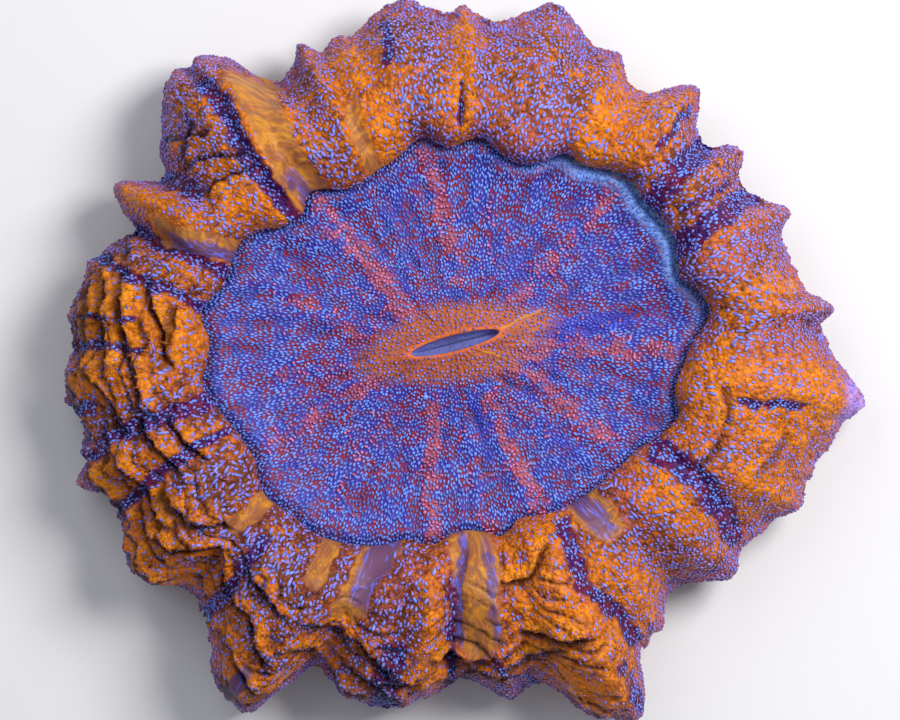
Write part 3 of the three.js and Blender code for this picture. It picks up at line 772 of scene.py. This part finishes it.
def scatter(kind, least, most, spacingOf, seed):
    # places on those rings that keep their distance, denser where spacingOf is smaller
    grid, angles = gridOf(kind, least, most)
    rng = np.random.default_rng(seed)
    p = grid["point"]
    q = np.roll(p, -1, 1)
    area = np.linalg.norm(np.cross(p[1:] - p[:-1], q[:-1] - p[:-1]), axis=2)
    rows, columns = area.shape
    angle = np.tile(angles, (rows, 1))
    corners = angle.ravel(), grid["radius"][:-1].ravel(), grid["share"][:-1].ravel()
    spacing = spacingOf(*corners, placeMasks(kind, *corners))[0]
    weight = area.ravel() / spacing ** 2
    count = int(beads["tries"] * weight.sum())
    total = np.cumsum(weight)
    cell = np.searchsorted(total, rng.random(count) * total[-1])
    cell = np.minimum(cell, len(weight) - 1)
    row, column = cell // columns, cell % columns
    u, v = rng.random(count), rng.random(count)

    def at(values):
        beside = np.roll(values, -1, 1)
        across, up = (u[:, None], v[:, None]) if values.ndim == 3 else (u, v)
        low = mix(values[row, column], beside[row, column], across)
        high = mix(values[row + 1, column], beside[row + 1, column], across)
        return mix(low, high, up)

    found = {name: at(values) for name, values in grid.items()}
    found["angle"] = polar(found["point"][:, 0], found["point"][:, 1])[0]
    found["normal"] /= np.linalg.norm(found["normal"], axis=1, keepdims=True)
    steep = np.sum(found["outward"] * found["normal"], 1, keepdims=True)
    level = found["outward"] - found["normal"] * steep
    found["outward"] = level / np.linalg.norm(level, axis=1, keepdims=True)
    masks = placeMasks(kind, found["angle"], found["radius"], found["share"])
    spacing, stretch = spacingOf(found["angle"], found["radius"], found["share"], masks)
    kept = keepApart(found["point"], found["outward"], spacing, stretch)
    found = {name: values[kept] for name, values in found.items()}
    found["masks"] = {name: values[kept] for name, values in masks.items()}
    found["spacing"], found["stretch"] = spacing[kept], stretch[kept]
    return found


def keepApart(points, outward, spacing, stretch):
    # keeps each point that is no nearer than its spacing to one already kept
    cellSize = float((spacing * stretch).max())
    keys = np.floor(points / cellSize).astype(int)
    cells = {}
    kept = []
    steps = [(i, j, k) for i in (0, -1, 1) for j in (0, -1, 1) for k in (0, -1, 1)]
    steps.sort(key=lambda step: sum(map(abs, step)))
    p, o = points.tolist(), outward.tolist()
    across, lengthwise = spacing.tolist(), (spacing * stretch).tolist()
    for n, (i, j, k) in enumerate(keys.tolist()):
        x, y, z = p[n]
        ox, oy, oz = o[n]
        free = True
        for a, b, c in steps:
            for other in cells.get((i + a, j + b, k + c), ()):
                dx, dy, dz = x - p[other][0], y - p[other][1], z - p[other][2]
                far = dx * ox + dy * oy + dz * oz
                side = dx * dx + dy * dy + dz * dz - far * far
                if side / across[n] ** 2 + far * far / lengthwise[n] ** 2 < 1:
                    free = False
                    break
            if not free:
                break
        if free:
            cells.setdefault((i, j, k), []).append(n)
            kept.append(n)
    return np.array(kept)


def discSpacing(angle, radius, share, masks):
    nearEdge = smooth((share - 0.25) / 0.5)
    spacing = beads["discSpacing"] * (1 + 0.25 * masks["pink"] + 0.55 * masks["warm"])
    return spacing, mix(1.35, 2.0, nearEdge) * (1 - 0.3 * masks["pink"])


def mantleSpacing(angle, radius, share, masks):
    inner = 1 - smooth((radius - discRadius(angle) - 9) / 12)
    spacing = beads["mantleSpacing"] * (
        1 - 0.06 * masks["purple"] - 0.05 * masks["edge"] + 3.5 * smooth(masks["smoothSkin"] * 1.7)
        + 0.25 * smooth((share - 8.5) / 1.5))
    rowsOnLeft = roughness(angle) * (1 - smooth((angle - 215) / 20))
    return spacing, 1.2 + (0.75 * inner + 0.35 * rowsOnLeft) * (1 - 0.6 * masks["purple"])


def turnedOut(spots, degrees):
    # the bead's long way, turned about its own axis
    a = np.radians(degrees)[:, None]
    return np.cos(a) * spots["outward"] + np.sin(a) * np.cross(spots["normal"], spots["outward"])


discSpots = scatter("disc", 0.012, 0.985, discSpacing, beads["seed"])
mantleSpots = scatter("mantle", 0.7, 10.0, mantleSpacing, beads["seed"] + 1)
underSpots = scatter("under", 10.0, 12.2, mantleSpacing, beads["seed"] + 2)
print("beads:", len(discSpots["angle"]), "disc,", len(mantleSpots["angle"]), "mantle,",
      len(underSpots["angle"]), "under")


# Nodes


class Value:
    # the output of a node, on which + - and * add math nodes
    def __init__(self, nodes, socket):
        self.nodes, self.socket = nodes, socket

    def __add__(self, other):
        return self.nodes.math("ADD", self, other)

    def __sub__(self, other):
        return self.nodes.math("SUBTRACT", self, other)

    def __rsub__(self, other):
        return self.nodes.math("SUBTRACT", other, self)

    def __mul__(self, other):
        return self.nodes.math("MULTIPLY", self, other)


class Nodes:
    # short ways to add and join the nodes of a tree
    def __init__(self, tree):
        self.tree = tree

    def add(self, kind, **settings):
        node = self.tree.nodes.new(kind)
        for name, value in settings.items():
            setattr(node, name, value)
        return node

    def fill(self, node, given):
        # links values into the node's inputs, or sets them where they are plain
        for name, value in given.items():
            if isinstance(value, Value):
                self.tree.links.new(value.socket, node.inputs[name])
            elif value is not None:
                node.inputs[name].default_value = value

    def make(self, kind, given, output=0, **settings):
        node = self.add(kind, **settings)
        self.fill(node, given)
        return Value(self, node.outputs[output])

    def inputs(self, names):
        outputs = self.add("NodeGroupInput").outputs
        return [Value(self, outputs[name]) for name in names]

    def attribute(self, name):
        return self.make("ShaderNodeAttribute", {}, "Fac", attribute_name=name)

    def place(self):
        return self.make("ShaderNodeTexCoord", {}, "Object")

    def math(self, operation, first, second=None, third=None, clamp=False):
        given = {0: first, 1: second, 2: third}
        return self.make("ShaderNodeMath", given, operation=operation, use_clamp=clamp)

    def ramp(self, value, low, high):
        # 0 at low and 1 at high, smoothly between
        given = {"Value": value, "From Min": low, "From Max": high}
        return self.make("ShaderNodeMapRange", given, "Result", interpolation_type="SMOOTHSTEP")

    def mix(self, share, first, second, blend="MIX"):
        given = {0: share, 6: first, 7: second}
        return self.make("ShaderNodeMix", given, 2, data_type="RGBA", blend_type=blend)

    def noise(self, vector, scale, detail=2.0, roughness=0.5, distortion=0.0):
        given = {"Vector": vector, "Scale": scale, "Detail": detail, "Roughness": roughness,
                 "Distortion": distortion}
        return self.make("ShaderNodeTexNoise", given, "Fac")

    def bent(self, vector, scale, amount):
        # the vector moved a little by a noise, so that what follows it isn't regular
        noise = self.make("ShaderNodeTexNoise", {"Vector": vector, "Scale": scale}, "Color")
        given = {0: noise, 1: (amount, amount, amount), 2: vector}
        return self.make("ShaderNodeVectorMath", given, operation="MULTIPLY_ADD")

    def cells(self, vector, scale):
        # how far each place is from the middle of its cell, and a random number for the cell
        node = self.add("ShaderNodeTexVoronoi")
        self.fill(node, {"Vector": vector, "Scale": scale})
        chance = self.make("ShaderNodeSeparateColor", {0: Value(self, node.outputs["Color"])})
        return Value(self, node.outputs["Distance"]), chance

    def scaled(self, vector, across, up):
        return self.make("ShaderNodeMapping", {"Vector": vector, "Scale": (across, up, 1)})


def beadTree():
    # beads on points: a sphere, tapered and sunk, turned by the point's own directions
    tree = bpy.data.node_groups.new("beadsOnPoints", "GeometryNodeTree")
    kinds = {"Points": "Geometry", "Segments": "Int", "Rings": "Int", "Taper": "Float",
             "Sink": "Float", "Spread": "Float", "Seed": "Int", "Skin": "Material"}
    for name, kind in kinds.items():
        tree.interface.new_socket(name, in_out="INPUT", socket_type="NodeSocket" + kind)
    tree.interface.new_socket("Beads", in_out="OUTPUT", socket_type="NodeSocketGeometry")
    n = Nodes(tree)
    points, segments, ringCount, taper, sink, spread, seed, look = n.inputs(kinds)

    def own(name):
        return n.make("GeometryNodeInputNamedAttribute", {"Name": name}, "Attribute",
                      data_type="FLOAT_VECTOR")

    ball = n.make("GeometryNodeMeshUVSphere",
                  {"Segments": segments, "Rings": ringCount, "Radius": 1}, "Mesh")
    apart = n.add("ShaderNodeSeparateXYZ")
    n.fill(apart, {0: n.make("GeometryNodeInputPosition", {})})
    x, y, z = (Value(n, output) for output in apart.outputs)
    height = z * 0.5 + 0.5
    thin = 1 - height * taper
    moved = n.make("ShaderNodeCombineXYZ", {"X": x * thin, "Y": y * thin, "Z": z + 1 - sink * 2})
    marked = n.make("GeometryNodeStoreNamedAttribute",
                    {"Geometry": ball, "Name": "tip", "Value": height},
                    data_type="FLOAT", domain="POINT")
    shaped = n.make("GeometryNodeSetPosition", {"Geometry": marked, "Position": moved})
    turned = n.make("FunctionNodeAxesToRotation",
                    {"Primary Axis": own("beadUp"), "Secondary Axis": own("beadOut")},
                    primary_axis="Z", secondary_axis="X")
    chance = n.make("FunctionNodeRandomValue", {2: 1 - spread, 3: spread + 1, "Seed": seed}, 1,
                    data_type="FLOAT")
    sized = n.make("ShaderNodeVectorMath", {0: own("beadSize"), "Scale": chance},
                   operation="SCALE")
    placed = n.make("GeometryNodeInstanceOnPoints", {
        "Points": points, "Instance": shaped, "Rotation": turned, "Scale": sized,
    })
    real = n.make("GeometryNodeRealizeInstances", {0: placed})
    rounded = n.make("GeometryNodeSetShadeSmooth", {0: real})
    painted = n.make("GeometryNodeSetMaterial", {"Geometry": rounded, "Material": look})
    n.fill(n.add("NodeGroupOutput"), {0: painted})
    return tree


def pointsOf(name, spots, chosen, size, masks):
    # a mesh of points only, with what each bead needs as attributes
    mesh = bpy.data.meshes.new(name)
    at = (spots["point"][chosen] + [mouthX, mouthY, 0]) * mm
    mesh.from_pydata(at.tolist(), [], [])
    vectors = {"beadUp": spots["normal"], "beadOut": spots["outward"], "beadSize": size * mm}
    for label, values in vectors.items():
        layer = mesh.attributes.new(label, "FLOAT_VECTOR", "POINT")
        layer.data.foreach_set("vector", values[chosen].astype(np.float32).ravel())
    addFloats(mesh, {k: v[chosen] for k, v in spots["masks"].items() if k in masks})
    addFloats(mesh, {"lift": spots["lift"][chosen]})
    return mesh, list(vectors)


def makeBeads(name, spots, chosen, size, kind):
    # one plain mesh of beads at the chosen spots; size is half length, half width, half height
    places, vectors = pointsOf(name + "_points", spots, chosen, size, kind["masks"])
    holder = addObject(name + "_points", places)
    modifier = holder.modifiers.new("beads", "NODES")
    modifier.node_group = beadsOnPoints
    for item in beadsOnPoints.interface.items_tree:
        if item.in_out == "INPUT" and item.name in kind["inputs"]:
            modifier[item.identifier] = kind["inputs"][item.name]
    evaluated = holder.evaluated_get(bpy.context.evaluated_depsgraph_get())
    mesh = bpy.data.meshes.new_from_object(evaluated)
    holder.modifiers.remove(modifier)
    bpy.data.objects.remove(holder)
    for label in vectors:
        if label in mesh.attributes:
            mesh.attributes.remove(mesh.attributes[label])
    mesh.name = name
    print(name, int(chosen.sum()), "beads,", len(mesh.polygons), "faces")
    return addObject(name, mesh)


# Materials


def colour(red, green, blue):
    # a colour given as it looks on a screen, 0 to 255
    def linear(c):
        c = c / 255
        return c / 12.92 if c <= 0.04045 else ((c + 0.055) / 1.055) ** 2.4

    return (linear(red), linear(green), linear(blue), 1.0)


def newMaterial(name):
    material = bpy.data.materials.new(name)
    material.use_nodes = True
    nodes = Nodes(material.node_tree)
    return material, nodes, material.node_tree.nodes["Principled BSDF"]


fleshColours = {
    "orange": colour(216, 116, 8),
    "glow": colour(242, 144, 12),
    "brown": colour(122, 60, 34),
    # painted shade between the crumbs of the mantle and in its small pits
    "creviceShade": colour(74, 32, 20),
    "fleck": colour(128, 136, 248),
    "fleckEdge": colour(186, 84, 120),
    "salmon": colour(196, 96, 70),
    # painted shade, for the gaps under the ledges, the foot of the mantle's inner wall and the beads
    # there
    "gap": colour(34, 14, 18),
    "purple": colour(60, 10, 84),
    "maroon": colour(104, 18, 56),
    "edge": colour(158, 92, 128),
    "discBlue": colour(62, 52, 160),
    "discRed": colour(132, 34, 64),
    "pinkFlesh": colour(170, 80, 98),
    "warm": colour(182, 96, 58),
    "lip": colour(222, 112, 54),
    "mouth": colour(112, 118, 186),
    "yellow": colour(220, 158, 50),
    "discShade": colour(26, 22, 70),
    "rimBlue": colour(134, 182, 255),
    "swirl": colour(206, 138, 40),
    "swirlBrown": colour(158, 98, 60),
    "swirlDark": colour(118, 66, 50),
    "swirlViolet": colour(110, 72, 104),
    "swirlBlue": colour(104, 104, 206),
    "lavender": colour(184, 148, 240),
    "stone": colour(214, 200, 178),
    "stoneDark": colour(150, 128, 106),
}

# Noises in the flesh: scale, detail, roughness.
fleshNoise = {"fine": (1100, 3, 0.65), "middle": (300, 3, 0.6), "broad": (90, 2, 0.5)}

groundMasks = ["tone", "purple", "lip", "edge", "lavender"]


def groundGroup():
    # the crumbly ground of the mantle with its small blue flecks, for the skin and the beads
    tree = bpy.data.node_groups.new("mantleGround", "ShaderNodeTree")
    for mask in groundMasks:
        tree.interface.new_socket(mask, in_out="INPUT", socket_type="NodeSocketFloat")
    tree.interface.new_socket("Colour", in_out="OUTPUT", socket_type="NodeSocketColor")
    tree.interface.new_socket("Height", in_out="OUTPUT", socket_type="NodeSocketFloat")
    n, c = Nodes(tree), fleshColours
    tone, purple, lip, edge, lavender = n.inputs(groundMasks)
    where = n.place()
    fine, middle, broad = (n.noise(where, *given) for given in fleshNoise.values())

    # crumbs, from brown to bright orange, with painted light on the lips of the ledges
    away, chance = n.cells(n.bent(where, 700, 0.0009), 900)
    bright = tone + (middle - 0.5) * 1.2 + (chance - 0.5) * 0.5 + lip * 0.45
    made = n.mix(n.ramp(bright, 0.2, 0.8), c["brown"], c["orange"])
    made = n.mix(n.ramp(bright, 0.8, 1.35), made, c["glow"])

    # salmon where the flesh is dull on the right, then painted shade between the crumbs and in the
    # small pits of the fine noise
    right = n.ramp(n.make("ShaderNodeSeparateXYZ", {0: where}, "X"), -0.05, 0.03)
    dull = n.math("SUBTRACT", 1.1, tone, clamp=True) * right
    made = n.mix(n.ramp(broad, 0.44, 0.62) * dull, made, c["salmon"])
    made = n.mix(n.ramp(away, 0.42, 0.75) * (0.56 - tone * 0.3), made, c["creviceShade"])
    made = n.mix(n.ramp(fine, 0.46, 0.3) * 0.35, made, c["creviceShade"])

    # the hem, the purple bands and the lavender tip
    made = n.mix(edge * n.ramp(middle, 0.3, 0.7), made, c["edge"])
    made = n.mix(purple, made, n.mix(n.ramp(middle, 0.42, 0.6), c["purple"], c["maroon"]))
    made = n.mix(lavender * n.ramp(middle, 0.2, 0.55), made, c["lavender"])

    # blue flecks with pink edges
    far, chance = n.cells(n.bent(where, 500, 0.0008), 1150)
    fleck = n.math("LESS_THAN", chance, 0.5 - tone * 0.3 - purple * 0.1)
    made = n.mix(fleck * n.ramp(far, 0.46, 0.3), made, c["fleckEdge"])
    made = n.mix(fleck * n.ramp(far, 0.36, 0.26), made, c["fleck"])
    height = fine * 0.7 - away + middle * 0.6
    n.fill(n.add("NodeGroupOutput"), {"Colour": made, "Height": height})
    return tree


def mantleGround(n):
    node = n.add("ShaderNodeGroup", node_tree=ground)
    n.fill(node, {mask: n.attribute(mask) for mask in groundMasks})
    return Value(n, node.outputs["Colour"]), Value(n, node.outputs["Height"])


def smoothSkin(n, polar, lines):
    # ochre and brown swirls with fine lines, and violet ones with blue lines
    c = fleshColours
    cloud = n.noise(n.scaled(polar, 60, 15), 1.0, 3, 0.55, 2.6)
    flow = n.noise(n.scaled(polar, 130, 9), 1.0, 1, 0.5, 0.7)
    wave = n.math("ABSOLUTE", n.math("FRACT", flow * 4.5) - 0.5)
    swirl = n.mix(n.ramp(cloud, 0.4, 0.68), c["swirlBrown"], c["swirl"])
    swirl = n.mix(n.ramp(lines, 0.54, 0.38) * 0.28, swirl, c["swirlDark"])
    swirl = n.mix(n.ramp(wave, 0.1, 0.03) * 0.3, swirl, c["glow"])
    violet = n.mix(n.ramp(wave, 0.16, 0.05), c["swirlViolet"], c["swirlBlue"])
    return n.mix(n.ramp(n.attribute("violetSkin"), 0.15, 0.85), swirl, violet)


def discFlesh(n, middle, broad):
    c = fleshColours
    mottled = middle - n.attribute("purple") * 0.15 - n.attribute("lift") * 0.12
    warm = n.attribute("warm")
    made = n.mix(n.ramp(mottled, 0.4, 0.56), c["discBlue"], c["discRed"])
    made = n.mix(n.ramp(n.attribute("pink"), 0.3, 1.0), made, c["pinkFlesh"])
    made = n.mix(n.ramp(warm + broad * 0.25, 0.3, 0.62), made, c["warm"])
    made = n.mix(n.ramp(warm, 0.9, 1.0), made, c["lip"])
    # gap brings in discShade, painted shade in the crease and at the bottom of the mouth
    for mask, name in (("tone", "yellow"), ("rim", "rimBlue"), ("mouth", "mouth"),
                       ("gap", "discShade")):
        made = n.mix(n.attribute(mask), made, c[name])
    return made


def skinMaterial():
    c = fleshColours
    material, n, shader = newMaterial("coralSkin")
    where = n.place()
    middle, broad = (n.noise(where, *fleshNoise[name]) for name in ("middle", "broad"))
    polar = n.make("ShaderNodeUVMap", {}, "UV", uv_map="polar")
    lines = n.noise(n.scaled(polar, 200, 18), 1.0, 2, 0.5, 2.2)
    crumbly, rise = mantleGround(n)
    bare = n.attribute("smoothSkin")
    mantleFlesh = n.mix(n.ramp(bare, 0.3, 0.6), crumbly, smoothSkin(n, polar, lines))
    # painted shade in the gaps of the ledges and at the foot of the mantle's inner wall
    for mask, share in (("gap", 0.85), ("rim", 0.8)):
        mantleFlesh = n.mix(n.attribute(mask) * share, mantleFlesh, c["gap"])
    flesh = n.mix(n.attribute("disc"), mantleFlesh, discFlesh(n, middle, broad))
    stone = n.mix(n.ramp(middle, 0.4, 0.65), c["stone"], c["stoneDark"])
    rough = n.math("SUBTRACT", 1 - n.ramp(bare, 0.2, 0.6), n.attribute("disc") * 0.6, clamp=True)
    bump = {"Strength": 1.0, "Distance": 0.42 * mm, "Height": rise * rough + lines * 0.4}
    n.fill(shader, {
        "Base Color": n.mix(n.attribute("stone"), flesh, stone),
        "Roughness": 0.5,
        "Specular IOR Level": 0.28,
        "Subsurface Weight": 0.06,
        "Subsurface Radius": (1.0, 0.45, 0.3),
        "Subsurface Scale": 0.8 * mm,
        "Normal": n.make("ShaderNodeBump", bump, "Normal"),
    })
    return material


def beadMaterial(name, look):
    # the ground at a bead's foot, then the colour of its sides, then that of its tip, then painted
    # shade in the gaps and where the flesh lies low
    material, n, shader = newMaterial(name)
    tip, blue = n.attribute("tip"), n.attribute("blue")
    kinds = [n.ramp(n.attribute(mask), 0.25, 0.7) for mask in ("purple", "pink", "warm")]

    def chosen(colours):
        made = colours[0]
        for kind, other in zip(kinds, colours[1:]):
            made = n.mix(kind, made, other)
        return made

    body = look["ground"](n)
    body = n.mix(n.ramp(tip, 0.3, 0.6) * blue, body, chosen(look["sides"]))
    body = n.mix(n.ramp(tip, *look["tipRange"]) * blue, body, chosen(look["tips"]))
    # painted shade on beads in the gaps under the ledges
    body = n.mix(n.attribute("gap") * 0.6, body, fleshColours["gap"])
    uneven = n.ramp(n.noise(n.place(), 420), 0.3, 0.7)
    shade = n.mix(uneven, colour(190, 190, 205), colour(255, 255, 255))
    # painted shade where the flesh lies low
    shade = n.mix(n.ramp(n.attribute("lift"), 0.1, -0.5), shade, look["lowShade"])
    n.fill(shader, {
        "Base Color": n.mix(1.0, body, shade, "MULTIPLY"),
        "Roughness": 0.45,
        "Specular IOR Level": 0.35,
    })
    return material


def discGround(n):
    return n.mix(n.ramp(n.attribute("warm"), 0.2, 0.5), colour(56, 30, 112), colour(160, 80, 50))


# The colours of tips and sides are for plain, purple, pink and warm places, in that order.
discLook = {
    "tips": [colour(120, 158, 255), colour(98, 120, 252), colour(214, 130, 176),
             colour(150, 140, 240)],
    "sides": [colour(80, 92, 232), colour(62, 60, 204), colour(170, 76, 120),
              colour(190, 96, 110)],
    "ground": discGround,
    "tipRange": (0.55, 0.78),
    "lowShade": colour(150, 140, 170),
}
mantleLook = {
    "tips": [colour(134, 154, 255), colour(120, 164, 255), colour(134, 154, 255),
             colour(134, 154, 255)],
    "sides": [colour(196, 112, 170), colour(96, 66, 200), colour(196, 112, 170),
              colour(196, 112, 170)],
    "ground": lambda n: mantleGround(n)[0],
    "tipRange": (0.66, 0.8),
    "lowShade": colour(226, 220, 232),
}

ground = groundGroup()
beadsOnPoints = beadTree()
coralSkin.data.materials.append(skinMaterial())
discBeads = {
    "inputs": {"Segments": 5, "Rings": 3, "Taper": 0.1, "Sink": 0.25, "Spread": 0.06, "Seed": 3,
               "Skin": beadMaterial("discBeads", discLook)},
    "masks": ("purple", "pink", "warm", "blue", "gap"),
}
mantleBeads = {
    "inputs": {"Segments": 5, "Rings": 3, "Taper": 0.1, "Sink": 0.2, "Spread": 0.1, "Seed": 5,
               "Skin": beadMaterial("mantleBeads", mantleLook)},
    "masks": ("purple", "tone", "lip", "edge", "lavender", "blue", "gap"),
}


def discBeadLook(spots, seed):
    # how blue each bead is, and half its length, width and height
    rng = np.random.default_rng(seed)
    count = len(spots["angle"])
    masks, spacing = spots["masks"], spots["spacing"]
    inside = bell(spots["share"] / 0.5)
    pink = rng.random(count) < masks["pink"] * 0.8 + 0.17 * inside
    masks["blue"] = np.ones(count)
    masks["pink"] = np.clip(pink * rng.normal(0.85, 0.2, count), 0, 1)
    across = pink * 90 * (rng.random(count) < 0.7)
    spots["outward"] = turnedOut(spots, across + rng.normal(0, 16, count))
    small = 1 - 0.5 * masks["warm"]
    width = 1.24 * small * spacing * rng.lognormal(0, 0.17 + 0.14 * masks["warm"], count)
    length = 1.3 * small * spacing * spots["stretch"] * rng.lognormal(0, 0.14, count)
    length = np.maximum(np.where(pink, 0.95 * length, length), width)
    return np.stack([length / 2, width / 2, 0.28 + 0.12 * pink + 0 * width], 1)


def mantleBeadLook(spots, seed):
    # which beads are blue, which of the others stay, and half of each one's size
    rng = np.random.default_rng(seed)
    count = len(spots["angle"])
    masks, purple = spots["masks"], spots["masks"]["purple"]
    clump = grain(spots["point"], 3.6, 31) + 0.5 * grain(spots["point"], 1.7, 32)
    chance = 1.0 - 0.72 * masks["tone"] ** 1.5 + 0.45 * clump - 0.2 * masks["lip"]
    chance -= 0.28 * roughness(spots["angle"])
    chance = mix(chance, purple * (0.74 + 0.4 * clump), purple)
    chance = np.maximum(chance, 0.85 * masks["edge"])
    blue = rng.random(count) < chance * (1 - 0.6 * masks["lavender"])
    spots["kept"] = blue | (rng.random(count) < 0.45 * (1 - purple))
    masks["blue"] = np.where(blue, 1.0, 0.0)
    spots["outward"] = turnedOut(spots, rng.normal(0, 26, count))
    calm = 1 - 0.36 * masks["tone"] ** 2 * (1 - purple)
    width = np.where(blue, 0.88 * calm * (1 - 0.14 * purple), 0.8)
    width = np.minimum(width * rng.lognormal(0, 0.26, count), 1.25 * spots["spacing"])
    length = 1.1 * width * spots["stretch"] * rng.lognormal(0.05, 0.24, count)
    height = np.where(blue, 0.17, 0.13) * rng.lognormal(0, 0.15, count)
    return np.stack([np.maximum(length, width) / 2, width / 2, height], 1)


discSize = discBeadLook(discSpots, beads["seed"] + 3)
nearMouth = discSpots["share"] < 0.62
offLines = discSpots["masks"]["tone"] < 0.4
offRim = (discSpots["masks"]["rim"] < 0.55) | (discSpots["share"] < 0.972)
pieces = [
    coralSkin,
    makeBeads("disc_beads_inner", discSpots, nearMouth & offLines, discSize, discBeads),
    makeBeads("disc_beads_outer", discSpots, ~nearMouth & offRim, discSize, discBeads),
]
mantleSize = mantleBeadLook(mantleSpots, beads["seed"] + 4)
bare = mantleSpots["masks"]["smoothSkin"] > 0.42
for quarter in range(4):
    part = (mantleSpots["angle"] // 90 == quarter) & ~bare & mantleSpots["kept"]
    name = f"mantle_beads_{quarter + 1}"
    pieces.append(makeBeads(name, mantleSpots, part, mantleSize, mantleBeads))
underSize = mantleBeadLook(underSpots, beads["seed"] + 5)
everywhere = np.ones(len(underSpots["angle"]), bool)
pieces.append(makeBeads("hem_beads", underSpots, everywhere, underSize, mantleBeads))

for piece in pieces:
    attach(piece, "root")
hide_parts("doughnut_coral")
print("pieces placed")


# Floor, light and camera


def makeFloor():
    mesh = bpy.data.meshes.new("floor")
    reach = 2.0
    corners = [(-reach, -reach, 0), (reach, -reach, 0), (reach, reach, 0), (-reach, reach, 0)]
    mesh.from_pydata(corners, [], [(0, 1, 2, 3)])
    material, n, shader = newMaterial("floor")
    n.fill(shader, {"Base Color": colour(226, 226, 228), "Roughness": 0.9})
    mesh.materials.append(material)
    obj = addObject("floor", mesh)


def makeLight(name, place, size, power, tint):
    data = bpy.data.lights.new(name, "AREA")
    data.size = size
    data.energy = power
    data.color = tint
    obj = addObject(name, data)
    obj.location = place
    obj.rotation_euler = (-Vector(place)).to_track_quat("-Z", "Y").to_euler()


camera = {
    "lens": 180.0,
    "sensor": 36.0,
    "viewWidth": 205.2,      # how much the picture takes in across, at the hem
    "aimX": -2.2,
    "aimY": -0.6,
    "hemLevel": 14.0,
}


def makeCamera():
    data = bpy.data.cameras.new("camera")
    data.lens = camera["lens"]
    data.sensor_width = camera["sensor"]
    data.clip_end = 10
    obj = addObject("camera", data)
    away = camera["viewWidth"] * camera["lens"] / camera["sensor"] + camera["hemLevel"]
    obj.location = (camera["aimX"] * mm, camera["aimY"] * mm, away * mm)
    bpy.context.scene.camera = obj


def makeWorld():
    world = bpy.data.worlds.new("studio")
    world.use_nodes = True
    background = world.node_tree.nodes["Background"]
    Nodes(world.node_tree).fill(background, {"Color": (0.9, 0.93, 1.0, 1), "Strength": 0.3})
    bpy.context.scene.world = world


makeFloor()
makeLight("key", (0.36, 0.22, 0.58), 0.30, 5.4, (1.0, 0.98, 0.96))
makeLight("fill", (-0.3, 0.3, 0.6), 0.5, 1.25, (0.92, 0.95, 1.0))
makeCamera()
makeWorld()
bpy.context.scene.view_settings.view_transform = "Standard"
print("stage set")
